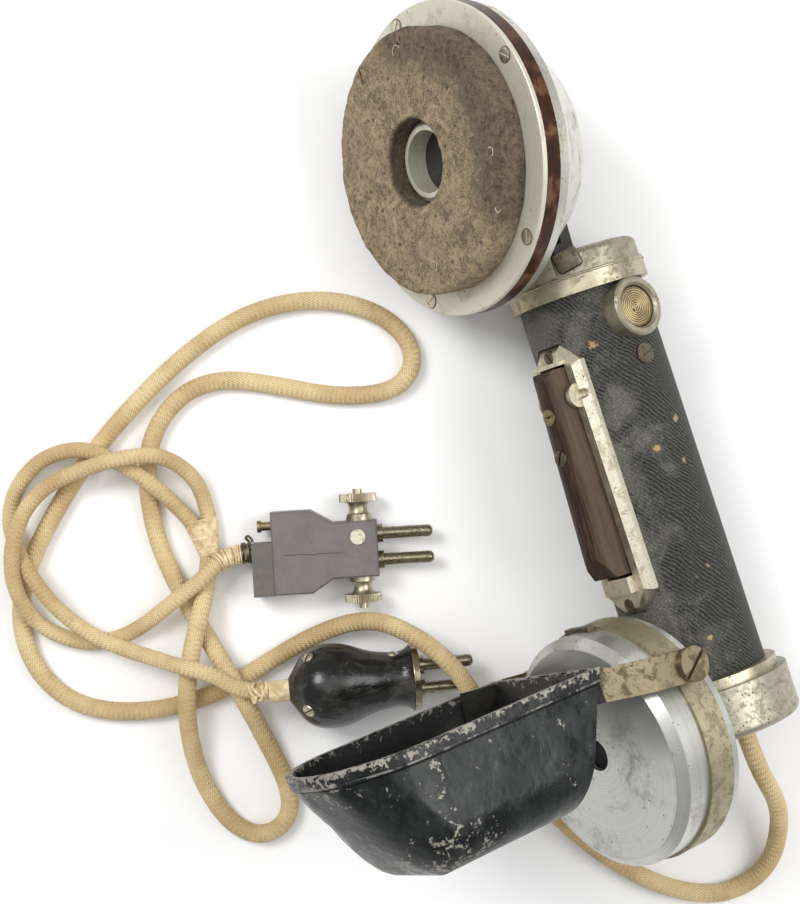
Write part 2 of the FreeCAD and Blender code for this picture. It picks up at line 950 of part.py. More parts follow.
magnet_base = "(shell_back + shell_wall)"
magnet_top = f"({magnet_base} + magnet_height)"
pole_top = "(ring_front - ring_thickness - diaphragm_thickness - diaphragm_gap - pole_gap)"
coil_base = f"({pole_top} - coil_drop - coil_height)"


def pole_block(middle, margin, base, height):
    """A block on a pole's plan, grown by a margin."""
    width = f"(pole_width + 2*{margin})"
    thickness = f"(pole_thickness + 2*{margin})"
    corner = vector(f"-{width}/2", f"{middle} - {thickness}/2", base)
    return Part.makeBox(size(width), size(thickness), size(height), corner)


def make_receiver_works():
    """The ring magnet, its two pole pieces and their coils, which pull the diaphragm."""
    outer = "(shell_back_radius - shell_wall)"
    inner = f"({outer} - magnet_wall)"
    magnet = turned("receiver_magnet", rectangle(inner, outer, magnet_base, magnet_top))
    slot = rectangle("0", "shell_back_radius", "-magnet_slot/2", "magnet_slot/2")
    pocket(magnet, "XY_Plane", "magnet_height", slot, offset=magnet_base, flip=True)
    place(magnet, receiver_place)
    poles = []
    coils = []
    for side in (-1, 1):
        middle = f"{side}*pole_spacing/2"
        poles.append(pole_block(middle, "0", magnet_base, f"{pole_top} - {magnet_base}"))
        core = pole_block(middle, "fit_gap", coil_base, "coil_height")
        winding = pole_block(middle, "coil_wall", coil_base, "coil_height")
        coils.append(winding.cut(core))
    place(several("pole_pieces", poles), receiver_place)
    place(several("receiver_coils", coils), receiver_place)


RING_SCREWS = 5


def make_ring_screws():
    screws = []
    head = slotted_screw("ring_screw_radius", "ring_screw_head", slot="fine_slot")
    for index in range(RING_SCREWS):
        angle = math.radians(size("ring_screw_start") + 360 / RING_SCREWS * index)
        reach = size("ring_screw_circle")
        centre = FreeCAD.Vector(-reach * math.cos(angle), reach * math.sin(angle), size("ring_front"))
        screws.append(at(head, centre, UPWARD, size("ring_screw_turn") * index))
    place(several("ring_screws", screws), receiver_place)


def make_receiver_neck():
    """The arm that stands on the cap and carries the receiver by its back."""
    body = new_body("receiver_neck")

    def back_face(height):
        lean = f"({height} - {ear_height})*sin(ear_tilt)"
        return f"((shell_back - {lean})/cos(ear_tilt))"

    top = f"({ear_height} + neck_reach)"
    foot_top = f"({cap_top} + neck_foot_height)"
    profile = [
        (f"{back_face(foot_top)} - neck_thickness - neck_swell", cap_top),
        ("neck_foot_front", cap_top),
        ("neck_foot_front", f"{foot_top} - neck_foot_ease"),
        ("neck_foot_front - 2*neck_foot_ease", foot_top),
        (f"{back_face(foot_top)}", foot_top),
        (back_face(top), top),
        (f"{back_face(top)} - neck_thickness", top),
    ]
    pad(body, "XZ_Plane", "2*neck_half_width", profile, both_ways=True)
    return place(body)


# ---- microphone, along its speaking axis --------------------------------------------------

mic_wall_back = "(mic_face - mic_wall_length)"
mic_band_back = "(mic_face - mic_wall_length - mic_band_height)"
mic_rear = "(mic_face - mic_wall_length - mic_band_height - mic_rim_height)"


def make_microphone():
    place(
        turned(
            "mic_shell",
            [
                ("mic_sound_radius", "mic_face"),
                ("mic_face_radius", "mic_face"),
                ("mic_radius", "mic_face - mic_chamfer"),
                ("mic_radius", mic_wall_back),
                ("mic_radius - mic_wall", mic_wall_back),
                ("mic_radius - mic_wall", "mic_face - mic_chamfer - mic_wall/2"),
                ("mic_face_radius - mic_wall/2", "mic_face - mic_wall"),
                ("mic_sound_radius", "mic_face - mic_wall"),
            ],
        ),
        mic_place,
    )
    place(
        turned(
            "mic_back",
            [
                ("0", mic_rear),
                ("mic_radius - mic_back_ease", mic_rear),
                ("mic_radius", f"{mic_rear} + mic_back_ease"),
                ("mic_radius", mic_band_back),
                ("mic_radius - mic_wall - fit_gap", mic_band_back),
                ("mic_radius - mic_wall - fit_gap", mic_wall_back),
                ("mic_radius - 2*mic_wall - fit_gap", mic_wall_back),
                ("mic_radius - 2*mic_wall - fit_gap", f"{mic_rear} + mic_back_floor"),
                ("0", f"{mic_rear} + mic_back_floor"),
            ],
        ),
        mic_place,
    )
    place(
        turned(
            "mic_insulator",
            rectangle(
                "0",
                "mic_radius - 2*mic_wall - fit_gap - insulator_gap",
                f"{mic_rear} + mic_back_floor",
                f"{mic_rear} + mic_back_floor + insulator_thickness",
            ),
        ),
        mic_place,
    )
    spring_base = f"({mic_rear} + mic_back_floor + insulator_thickness)"
    chamber_base = "(mic_face - mic_wall - chamber_gap - chamber_height)"
    place(
        turned(
            "mic_contact_spring",
            rectangle(
                "mic_spring_radius - mic_spring_wall", "mic_spring_radius", spring_base, chamber_base
            ),
        ),
        mic_place,
    )
    place(
        turned(
            "carbon_chamber",
            rectangle("0", "chamber_radius", chamber_base, f"{chamber_base} + chamber_height"),
        ),
        mic_place,
    )
    diaphragm_back = f"({chamber_base} + chamber_height)"
    place(
        turned(
            "mic_diaphragm",
            rectangle(
                "0",
                "mic_radius - mic_wall - seat_gap",
                diaphragm_back,
                f"{diaphragm_back} + mic_diaphragm_thickness",
            ),
        ),
        mic_place,
    )


def make_mic_band():
    """The clamp band round the capsule, with a lug on each side for the horn's hinge."""
    base = vector("0", "0", mic_band_back)
    height = size("mic_band_height")
    band = Part.makeCylinder(size(band_radius), height, base)
    inside = Part.makeCylinder(size("mic_radius - mic_wall + fit_gap"), height, base)
    hinge = vector(f"{mic_height} - {hinge_height}", "0", "hinge_front")
    reach = size(f"{arm_inner} - fit_gap")
    lugs = [Part.makeCylinder(size("lug_radius"), reach, hinge, SIDEWAYS * side) for side in (-1, 1)]
    drum = Part.makeCylinder(size(f"{band_radius} - mic_band_wall/5"), size("mic_face"))
    solid = lugs[0].fuse(lugs[1]).cut(drum).fuse(band).cut(inside).removeSplitter()
    place(made_of("mic_band", solid), mic_place)
    corner = vector("-mic_radius - mic_clip_thickness", "-mic_clip_half", mic_wall_back)
    clip = Part.makeBox(
        size("2*mic_clip_thickness + mic_chamfer"), size("2*mic_clip_half"), size("mic_clip_length"), corner
    )
    shell = Part.makeCylinder(size("mic_radius + fit_gap"), size("mic_face"))
    place(made_of("mic_clip", clip.cut(shell)), mic_place)


# ---- speaking horn ------------------------------------------------------------------------

NOSE_SECTIONS = 16
NOSE_END_ANGLE = 86.5


def nose_shares():
    """Stations of the rounded nose: how far along it, and its share of the width and depth."""
    for index in range(NOSE_SECTIONS):
        angle = math.radians(NOSE_END_ANGLE * index / (NOSE_SECTIONS - 1))
        along = math.sin(angle)
        fall = size("horn_nose_fall") * along ** size("horn_nose_power")
        yield along, math.cos(angle), 1 - fall


def scoop_section(front, half_width, depth, above, softer=0.0):
    """A U-shaped section across the horn, its lower corners rounded, closed by a straight top."""
    corner = min(size("horn_corner") + softer, 0.92 * half_width, 0.92 * depth)
    middle = size("horn_shift")
    top = size(horn_rim) + above
    low = size(horn_rim) - depth
    left = middle - half_width
    right = middle + half_width
    diagonal = corner * (1 - math.sqrt(0.5))

    def point(across, up):
        return FreeCAD.Vector(front, across, up)

    edges = [
        Part.LineSegment(point(left, top), point(left, low + corner)),
        Part.Arc(
            point(left, low + corner), point(left + diagonal, low + diagonal), point(left + corner, low)
        ),
        Part.LineSegment(point(left + corner, low), point(right - corner, low)),
        Part.Arc(
            point(right - corner, low), point(right - diagonal, low + diagonal), point(right, low + corner)
        ),
        Part.LineSegment(point(right, low + corner), point(right, top)),
        Part.LineSegment(point(right, top), point(left, top)),
    ]
    return Part.Wire([edge.toShape() for edge in edges])


def scoop_solid(grow, back, above):
    """The horn's outside, grown or shrunk by a wall: a straight trough and a rounded nose."""
    half_width = size("horn_half_width") + grow
    depth = size("horn_depth") + grow
    tip = size("horn_back + horn_length") + grow
    nose_start = tip - half_width
    ends = (back - half_width, nose_start)
    trough = Part.makeLoft([scoop_section(front, half_width, depth, above) for front in ends], True, True)
    sections = []
    softer = size("horn_nose_softer")
    for along, width_share, depth_share in nose_shares():
        front = nose_start + half_width * along
        across = half_width * width_share
        sections.append(scoop_section(front, across, depth * depth_share, above, softer * along))
    return trough.fuse(Part.makeLoft(sections, True, True)).cut(behind_horn(back))


def behind_horn(back):
    """What lies behind the horn's leaning back wall."""
    slope = size("horn_lean") / size("horn_depth")
    drop = 3 * size("horn_depth")
    rise = size("horn_depth")
    wide = 3 * size("horn_half_width")
    low = size(horn_rim) - drop
    high = size(horn_rim) + rise
    corners = [
        FreeCAD.Vector(-back, -wide, low),
        FreeCAD.Vector(back + drop * slope, -wide, low),
        FreeCAD.Vector(back - rise * slope, -wide, high),
        FreeCAD.Vector(-back, -wide, high),
    ]
    side = Part.Face(Part.makePolygon(corners + corners[:1]))
    return side.extrude(SIDEWAYS * 2 * wide)


arm_rise = f"({horn_rim} - arm_rim_drop - arm_width/2 - {hinge_height})"
arm_slope = math.degrees(math.atan2(size(arm_rise), size("horn_back - hinge_front")))


def make_horn():
    """The scoop that leads the voice to the capsule, open towards the receiver."""
    wall = size("horn_wall")
    back = size("horn_back")
    outside = scoop_solid(0, back, 0)
    wide = size("horn_back + horn_length")
    corner = vector("0", "-(horn_back + horn_length)", f"{horn_rim} - horn_bead_height")
    bead_box = Part.makeBox(2 * wide, 2 * wide, size("horn_bead_height"), corner)
    bead = scoop_solid(size("horn_bead_proud"), back, 0).common(bead_box)
    inside = scoop_solid(-wall, back + wall, size("cut_over"))
    horn = outside.fuse(bead).cut(inside)
    throat_start = vector("horn_back", "horn_shift", f"{mic_height} + horn_throat_rise")
    throat = Part.makeCylinder(size("horn_throat"), size("horn_depth"), throat_start, FORWARD)
    horn = horn.cut(throat)
    for side in (-1, 1):
        horn = horn.cut(arm_blank(side, size("3*fit_gap")))
    place(made_of("horn", horn))


def arm_blank(side, margin):
    """One bent strap, from round the hinge screw to inside the horn's wall."""
    inner = size(arm_inner) - margin
    outer = size(f"{arm_inner} + arm_thickness") + margin
    inside_out = size("horn_half_width - horn_wall - fit_gap") + side * size("horn_shift") + margin
    inside_in = inside_out - size("arm_thickness") - 2 * margin
    start = size("hinge_front - arm_width/2")
    bend = size("arm_bend_start")
    land = size("horn_back + arm_thickness/3")
    end = size("horn_back + arm_inside_length")
    corners = [
        (start, inner),
        (bend, inner),
        (land, inside_in),
        (end, inside_in),
        (end, inside_out),
        (land, inside_out),
        (bend + (land - bend) / 20, outer),
        (start, outer),
    ]
    low = size(f"{hinge_height} - arm_width/2") - margin
    points = [FreeCAD.Vector(front, side * across, low) for front, across in corners]
    strip = Part.Face(Part.makePolygon(points + points[:1])).extrude(
        FreeCAD.Vector(0, 0, size("arm_width") + 2 * margin)
    )
    return turned_about_hinge(strip, -arm_slope)


def turned_about_hinge(shape, degrees):
    copy = shape.copy()
    copy.rotate(vector("hinge_front", "0", hinge_height), SIDEWAYS, degrees)
    return copy


RIVETS = 2


def make_horn_arms():
    """The two straps that carry the horn, their hinge screws and their rivets."""
    arms = []
    screws = []
    rivets = []
    rivet = Part.makeCylinder(size("rivet_radius"), size("rivet_height"))
    screw = slotted_screw(
        "hinge_screw_radius", "hinge_screw_head", "hinge_pin_radius", "arm_thickness + 2*fit_gap", "wide_slot"
    )
    hinge = vector("hinge_front", "0", hinge_height)
    half = size("arm_width") / 2
    reach = size("horn_back + horn_length")
    for side in (-1, 1):
        outwards = SIDEWAYS * side
        round_end = Part.makeCylinder(half, reach, hinge, outwards)
        tongue = Part.makeBox(reach, 2 * reach, 2 * half, hinge + FreeCAD.Vector(0, -reach, -half))
        tongue = turned_about_hinge(tongue, -arm_slope)
        hole = Part.makeCylinder(size("hinge_pin_radius + fit_gap"), reach, hinge, outwards)
        arms.append(arm_blank(side, 0).common(round_end.fuse(tongue)).cut(hole))
        seat = hinge + outwards * size(f"{arm_inner} + arm_thickness + fit_gap")
        screws.append(at(screw, seat, outwards, size("hinge_screw_turn")))
        inside = size(f"horn_half_width - horn_wall - fit_gap - arm_thickness + {side}*horn_shift")
        for index in range(RIVETS):
            along = size("horn_back + rivet_first") + size("rivet_pitch") * index
            lift = (along - size("hinge_front")) * math.tan(math.radians(arm_slope))
            across = side * (inside - size("rivet_height"))
            rivets.append(at(rivet, FreeCAD.Vector(along, across, hinge.z + lift), outwards))
    place(several("horn_arms", arms))
    place(several("hinge_screws", screws))
    place(several("horn_rivets", rivets))


# ---- small parts of the handle ------------------------------------------------------------


LEVER_SCREWS = 2


def make_lever_parts():
    """The pin that the lever turns on, and the two screws in its face."""
    start = vector("lever_pivot_depth", f"-{slot_half} - lever_cheek", "lever_pivot_height")
    pin_length = size(f"2*({slot_half} + lever_cheek)")
    pin = Part.makeCylinder(size("lever_pin_radius"), pin_length, start, SIDEWAYS)
    place(made_of("lever_pin", pin))
    screws = []
    head = slotted_screw("lever_screw_radius", "lever_screw_head")
    for index in range(LEVER_SCREWS):
        centre = vector("lever_top", "0", f"lever_screw_first - {index}*lever_screw_pitch")
        screws.append(at(head, centre, FORWARD, 90))
    place(several("lever_screws", screws), lever_place)


def make_inner_parts():
    """The terminal block across the core and the switch blades under the talk lever."""
    radius = f"({core_bore} - fit_gap)"
    block = turned("terminal_block", rectangle("0", radius, block_low, f"{block_low} + block_height"))
    wire_hole = [("gland_radius - gland_lip", "-gland_offset", "0")]
    pocket(block, "XY_Plane", "block_height", circles=wire_hole, offset=block_low, flip=True)
    place(block)
    blades = []
    for side in (-1, 1):
        across = f"({side}*blade_spacing - blade_width)/2"
        corner = vector("frame_back - blade_thickness", across, f"{lever_low} - blade_overhang")
        blade = Part.makeBox(size("blade_thickness"), size("blade_width"), size("blade_length"), corner)
        blades.append(blade)
    place(several("switch_blades", blades))


def make_handle_screws():
    """Two screws of the lever's frame, one through the leather and two terminals inside."""
    screws = []
    frame_screw = slotted_screw("frame_screw_radius", "frame_screw_head")
    for height in frame_screw_heights:
        seat = vector("frame_crown - frame_screw_sink", "0", height)
        screws.append(at(frame_screw, seat, FORWARD, size("frame_screw_turn")))
    side_screw = slotted_screw(
        "side_screw_radius",
        "side_screw_head",
        "side_screw_shank",
        "sleeve_wall - side_screw_sink + core_wall",
    )
    side_seat = vector("0", "sleeve_radius - side_screw_sink", "side_screw_height")
    screws.append(at(side_screw, side_seat, SIDEWAYS, size("side_screw_turn")))
    terminal = slotted_screw("terminal_radius", "terminal_height")
    for side in (-1, 1):
        seat = vector("terminal_front", f"{side}*terminal_spacing/2", f"{block_low} + block_height")
        screws.append(at(terminal, seat, UPWARD, size("frame_screw_turn") * side))
    place(several("handle_screws", screws))


def finish():
    """Stop where any feature failed or any sub-part is empty or invalid."""
    doc.recompute()
    for item in doc.Objects:
        if "Invalid" in item.State or "Error" in item.State:
            raise RuntimeError(f"{item.Label} failed: {item.State}")
    for item in handset + on_floor:
        if item.Shape.isNull() or not item.Shape.isValid():
            raise RuntimeError(f"{item.Label} has no valid shape")


make_grip_sleeve()
make_core_tube()
make_handle_fittings()
make_end_bracket()
make_cord_gland()
make_call_button()
make_lever_frame()
make_talk_lever()
make_lever_parts()
make_receiver()
make_receiver_works()
make_ring_screws()
make_receiver_neck()
make_microphone()
make_mic_band()
make_horn()
make_horn_arms()
make_inner_parts()
make_handle_screws()


# ---- flat plug, along its pins, standing on the floor -------------------------------------

# Set pieces that lie on the floor beside the handset, each with its place before centring.
on_floor = []


def lay(item, placement):
    item.Placement = placement
    on_floor.append(item)
    return item


def floor_place(across, along, height, turn, slope="0"):
    level = FreeCAD.Rotation(UPWARD, size(turn))
    tip = FreeCAD.Rotation(SIDEWAYS, size(slope))
    return FreeCAD.Placement(vector(across, along, height), level.multiply(tip))


flat_place = floor_place("flat_across", "flat_along", "0", "flat_turn")
pear_place = floor_place("pear_across", "pear_along", "pear_rear_height", "pear_turn", "pear_slope")


def plug_pin():
    """One contact pin along X, grooved on two sides, its collar's face at the origin."""
    radius = size("pin_radius")
    reach = size("pin_length")
    inside = size("pin_inside")
    pin = Part.makeCylinder(radius, reach + inside, FORWARD * -inside, FORWARD)
    tip = [edge for edge in pin.Edges if edge.BoundBox.XMin > reach - 0.01]
    pin = pin.makeFillet(size("pin_tip_round*pin_radius"), tip)
    collar = Part.makeCylinder(
        size("pin_collar_radius"), size("pin_collar_length"), FreeCAD.Vector(0, 0, 0), FORWARD
    )
    groove_corner = vector("pin_solid", "-pin_slot/2", "pin_radius - pin_slot_depth")
    groove = Part.makeBox(reach, size("pin_slot"), radius, groove_corner)
    groove.rotate(FreeCAD.Vector(0, 0, 0), FORWARD, size("pin_slot_turn"))
    opposite = groove.copy()
    opposite.rotate(FreeCAD.Vector(0, 0, 0), FORWARD, 180)
    return pin.fuse(collar).cut([groove, opposite]).removeSplitter()


def moved(shape, offset):
    copy = shape.copy()
    copy.translate(offset)
    return copy


def make_flat_plug():
    rear = "plug_rear_start"
    outline = [
        (rear, "-plug_rear_half"),
        ("plug_rear_end", "-plug_rear_half"),
        ("plug_front_start", "-plug_front_half"),
        ("plug_front_end", "-plug_front_half"),
        ("plug_front_end", "plug_front_half"),
        ("plug_front_start", "plug_front_half"),
        ("plug_rear_end", "plug_rear_half"),
        (rear, "plug_rear_half"),
    ]
    pin_places = ("flat_pin_high", "flat_pin_low")
    body = new_body("flat_plug_body")
    pad(body, "XY_Plane", "plug_split", outline)
    inner_half = "(plug_front_half - stud_inside - fit_gap)"
    cavity = rectangle(
        f"{rear} + plug_wall", "plug_front_end - pin_inside - plug_wall", f"-{inner_half}", inner_half
    )
    pocket(body, "XY_Plane", "plug_split - plug_wall", cavity, offset="plug_split")
    inlet = [("branch_radius", "plug_inlet_across", "plug_axis_height")]
    pocket(body, "YZ_Plane", "plug_wall + fit_gap", circles=inlet, offset=rear, flip=True)
    pins = [("pin_radius + fit_gap", across, "plug_axis_height") for across in pin_places]
    pocket(body, "YZ_Plane", "pin_inside + fit_gap", circles=pins, offset="plug_front_end")
    studs = [("stud_radius + fit_gap", "nut_along", "plug_axis_height")]
    pocket(body, "XZ_Plane", "stud_inside + fit_gap", circles=studs, offset="plug_front_half")
    pocket(body, "XZ_Plane", "stud_inside + fit_gap", circles=studs, offset="-plug_front_half", flip=True)
    lay(body, flat_place)
    cover = new_body("flat_plug_cover")
    slab = pad(cover, "XY_Plane", "plug_height - plug_split", outline, offset="plug_split")

    def top_edge(edge):
        return edge.BoundBox.ZMin > size("plug_height") - 0.01

    bevel_edges(cover, slab, "plug_ease", top_edge)
    lay(cover, flat_place)
    clamp = new_body("flat_plug_clamp")
    block = rectangle(f"{rear} - clamp_length", rear, "clamp_low", "clamp_high")
    pad(clamp, "XY_Plane", "plug_height - plug_ease", block)
    lay(clamp, flat_place)
    pair = [moved(plug_pin(), vector("plug_front_end", across, "plug_axis_height")) for across in pin_places]
    lay(several("flat_plug_pins", pair), flat_place)
    screw = slotted_screw("plug_screw_radius", "plug_screw_head")
    seat = vector("nut_along - plug_ease", "flat_pin_high - plug_ease", "plug_height")
    lay(made_of("flat_plug_screw", at(screw, seat, UPWARD, size("plug_screw_turn"))), flat_place)
    socket = Part.makeCylinder(size("socket_radius"), size("socket_length"))
    flare = Part.makeCylinder(size("socket_flare"), size("socket_flare_length"))
    bore = Part.makeCylinder(size("socket_radius - socket_wall"), size("socket_length - 2*socket_wall"))
    mouth = vector(f"{rear} - socket_length", "socket_across", "plug_axis_height")
    lay(made_of("flat_plug_socket", at(socket.fuse(flare).cut(bore), mouth, FORWARD)), flat_place)


def make_thumb_nuts():
    """On each flank a stud with a washer and a knurled nut that clamp a bare wire."""
    studs = []
    axis_point = vector("nut_along", "0", "plug_axis_height")
    inside = size("stud_inside")
    reach = size("washer_height + nut_neck_height + nut_disc_height + stud_proud")
    hole = Part.makeCylinder(size("stud_radius + fit_gap"), reach)
    washer = Part.makeCylinder(size("washer_radius"), size("washer_height")).cut(hole)
    neck = Part.makeCylinder(size("nut_neck_radius"), size("nut_neck_height"))
    flare = Part.makeCone(size("washer_radius - nut_ease"), size("nut_neck_radius"), size("nut_foot_height"))
    disc = Part.makeCylinder(
        size("nut_disc_radius"), size("nut_disc_height"), vector("0", "0", "nut_neck_height")
    )
    disc = disc.makeChamfer(size("nut_ease"), [edge for edge in disc.Edges if len(edge.Vertexes) == 1])
    nut = neck.fuse([flare, disc]).cut(hole).removeSplitter()
    for side, word in ((1, "upper"), (-1, "lower")):
        outwards = SIDEWAYS * side
        face = axis_point + outwards * size("plug_front_half")
        seat = face + outwards * size("washer_height")
        lay(made_of(f"thumb_washer_{word}", at(washer, face, outwards)), flat_place)
        lay(made_of(f"thumb_nut_{word}", at(nut, seat, outwards)), flat_place)
        foot = face - outwards * inside
        studs.append(Part.makeCylinder(size("stud_radius"), reach + inside, foot, outwards))
    lay(several("thumb_studs", studs), flat_place)


# ---- pear plug, along its own axis --------------------------------------------------------

# Points of the turned body's outline: shares of its length and of its largest radius.
PEAR_SHAPE = [
    (0.0, 0.27),
    (0.05, 0.49),
    (0.13, 0.80),
    (0.23, 0.96),
    (0.34, 1.0),
    (0.50, 0.93),
    (0.65, 0.76),
    (0.82, 0.66),
    (0.92, 0.66),
    (1.0, 0.785),
]


def make_pear_plug():
    """A turned body in two halves, its end plate and the two pins through it."""
    length = size("pear_length")
    centre = FreeCAD.Vector(0, 0, 0)
    outer = [FreeCAD.Vector(length * along, size("pear_radius") * share, 0) for along, share in PEAR_SHAPE]
    curve = Part.BSplineCurve()
    curve.interpolate(outer)
    inner = [
        vector("pear_length", "pear_bore", "0"),
        vector("0.75*pear_length", "pear_bore - plug_ease", "0"),
        vector("0.5*pear_length", "pear_radius - pear_wall - plug_ease", "0"),
        vector("0.18*pear_length", "pear_radius - 2*pear_wall", "0"),
        vector("pear_wall", "pear_cord_bore", "0"),
        vector("pear_wall", "0", "0"),
        centre,
        outer[0],
    ]
    profile = Part.Wire([curve.toShape(), Part.makePolygon([outer[-1]] + inner)])
    for label, start in (("pear_plug_lower", 180), ("pear_plug_upper", 0)):
        face = Part.Face(profile)
        face.rotate(centre, FORWARD, start)
        lay(made_of(label, face.revolve(centre, FORWARD, 180)), pear_place)
    front = FORWARD * length
    plate = Part.makeCylinder(size("pear_plate_radius"), size("pear_plate_height"), front, FORWARD)
    plate = plate.makeFillet(size("plug_ease"), [edge for edge in plate.Edges if len(edge.Vertexes) == 1])
    pins = []
    for side in (-1, 1):
        root = vector("pear_length + pear_plate_height", f"{side}*pear_pin_spacing/2", "0")
        inside = FORWARD * size("pin_inside")
        pins.append(moved(plug_pin(), root))
        hole = Part.makeCylinder(size("pin_radius + fit_gap"), 2 * inside.Length, root - inside, FORWARD)
        plate = plate.cut(hole)
    lay(made_of("pear_plug_plate", plate), pear_place)
    lay(several("pear_plug_pins", pins), pear_place)


make_flat_plug()
make_thumb_nuts()
make_pear_plug()


# ---- cords --------------------------------------------------------------------------------

MAIN_ROUTE = [
    (11.6, -158.7, 13.5), (9.2, -169.6, 8), (4.1, -178.2, 4.8), (-4.7, -183.3, 3),
    (-17.1, -183.4, 3), (-32.3, -175.1, 3), (-45.6, -161.2, 3), (-56.6, -144.5, 3),
    (-63.8, -128.4, 3.2), (-67.4, -111.5, 7.5), (-70.6, -95, 15.5), (-75.5, -81.1, 18),
    (-83.7, -70.2, 16), (-94.3, -62.4, 9.5), (-109.2, -61.5, 4), (-127.5, -64.9, 3),
    (-147.1, -70.5, 3), (-168.1, -70.6, 3), (-186.9, -65.2, 3), (-198.7, -56.2, 3),
    (-204.7, -42.9, 3), (-204.2, -27.6, 3), (-197.3, -13.7, 3), (-185.1, -0.6, 3),
    (-169.3, 13.2, 3), (-151.9, 24.7, 3), (-128.8, 36.7, 3), (-105, 44.4, 3), (-83.1, 43.1, 3),
    (-66.1, 35.2, 3), (-56.7, 24.3, 3), (-54.9, 13.7, 3), (-60.7, 6.7, 3), (-70.2, 5.7, 3),
    (-85.2, 10.2, 3), (-101.2, 19.2, 3), (-116.9, 26.7, 3), (-131.6, 26, 3), (-144.1, 17, 3),
    (-150.6, 3.3, 3), (-153.6, -15.3, 3), (-151.8, -33.3, 3.2), (-148.2, -49.6, 3.4),
    (-144.3, -62.7, 9.9), (-141.5, -75.9, 9.5), (-139.5, -90.6, 4.2), (-137.5, -104.2, 3),
    (-138.6, -113.8, 3), (-144.4, -119.1, 3), (-152.2, -118.9, 3), (-159, -112.3, 3),
    (-162.7, -101.5, 3), (-163.8, -89.5, 4.5), (-161.5, -75.9, 9.2), (-157.1, -62.9, 10.6),
    (-151.7, -52.4, 10.7), (-146.1, -43.2, 9.7), (-141.7, -34.5, 4),
]

FLAT_ROUTE = [
    (-134.3, -9.2, 3.6), (-135.6, 0.2, 7.6), (-142.6, 9, 12.8), (-155.4, 11.8, 15.8),
    (-169.5, 12.1, 11.4), (-182.1, 10.6, 8.6), (-191.4, 4.5, 10.6), (-198.1, -6.4, 13.2),
    (-201, -18.1, 11.2), (-199, -30, 7), (-191, -39.1, 3.4), (-180.3, -43.7, 2.6),
    (-168.4, -43, 3.2), (-157.9, -39.1, 8), (-148.2, -35.6, 10.6), (-140.5, -32.8, 11.6),
]

PEAR_ROUTE = [
    (-142.6, -10.6, 4), (-147.6, -0.6, 9.3), (-155.7, 9.8, 9.4), (-166, 18.9, 9.3),
    (-179.7, 20.3, 5), (-191.4, 14.2, 2.8), (-197.4, 4.8, 3.2), (-197.2, -6.4, 6.8),
    (-194.4, -16.5, 11.2), (-190.1, -28.5, 9.8), (-183.1, -38.7, 8.8), (-175.2, -46, 9),
    (-167, -51.3, 12), (-157.9, -57.1, 16.6), (-147.9, -62.9, 17.4),
]

SPLIT_START = FreeCAD.Vector(-138.43, -26.35, 3.2)
SPLIT_END = FreeCAD.Vector(-137.89, -16.24, 3.2)


def rounded_path(points, label):
    """Straight runs joined by tangent arcs as large as the runs allow."""
    edges = []
    radii = []
    here = points[0]
    for before, corner, after in zip(points, points[1:], points[2:]):
        incoming = (corner - before).normalize()
        outgoing = (after - corner).normalize()
        turn = incoming.getAngle(outgoing)
        cut = 0.45 * min(corner.distanceToPoint(before), corner.distanceToPoint(after))
        radius = cut / math.tan(turn / 2)
        start = corner - incoming * cut
        end = corner + outgoing * cut
        inwards = (outgoing - incoming).normalize()
        middle = corner + inwards * (math.hypot(radius, cut) - radius)
        edges.append(Part.LineSegment(here, start).toShape())
        edges.append(Part.Arc(start, middle, end).toShape())
        radii.append(round(radius, 1))
        here = end
    edges.append(Part.LineSegment(here, points[-1]).toShape())
    print(label, "bend radii", radii)
    return Part.Wire(edges)


def make_cord(label, points, radius):
    path = rounded_path(points, label)
    ring = Part.Wire(Part.makeCircle(radius, points[0], points[1] - points[0]))
    tube = path.makePipeShell([ring], True, False)
    expected = math.pi * radius**2 * path.Length
    print(label, "length", round(path.Length, 1), "volume share", round(tube.Volume / expected, 4))
    if abs(tube.Volume / expected - 1) > 0.01:
        raise RuntimeError(f"{label} isn't a clean tube")
    on_floor.append(made_of(label, tube))


gland_base = f"({bracket_low} - gland_length + bracket_floor)"
clamp_rear = "(plug_rear_start - clamp_length)"


def route(points):
    return [FreeCAD.Vector(*point) for point in points]


def make_cords():
    """The main cord from the gland to the split, and a branch from there to each plug."""
    gland_end = pose.multVec(vector("-gland_offset", "0", gland_base)) + UPWARD * lift
    leaving = pose.Rotation.multVec(-UPWARD)
    main_lead = gland_end + leaving * size("cord_lead")
    main = [gland_end, main_lead] + route(MAIN_ROUTE) + [SPLIT_START]
    make_cord("cord_main", main, size("cord_radius"))
    along = (SPLIT_END - SPLIT_START).normalize()
    sideways = UPWARD.cross(along).normalize()
    beside = sideways * size("branch_radius + fit_gap")
    flat_lead = flat_place.multVec(
        vector(f"{clamp_rear} - flat_lead", "plug_inlet_across", "plug_axis_height + flat_lead_rise")
    )
    flat_end = flat_place.multVec(vector(clamp_rear, "plug_inlet_across", "plug_axis_height"))
    flat = [SPLIT_END - beside] + route(FLAT_ROUTE) + [flat_lead, flat_end]
    make_cord("cord_branch_flat", flat, size("branch_radius"))
    pear_lead = pear_place.multVec(vector("-pear_lead", "0", "0"))
    pear = [SPLIT_END + beside] + route(PEAR_ROUTE) + [pear_lead, pear_place.Base]
    make_cord("cord_branch_pear", pear, size("branch_radius"))
    make_cord_fittings(along, sideways)


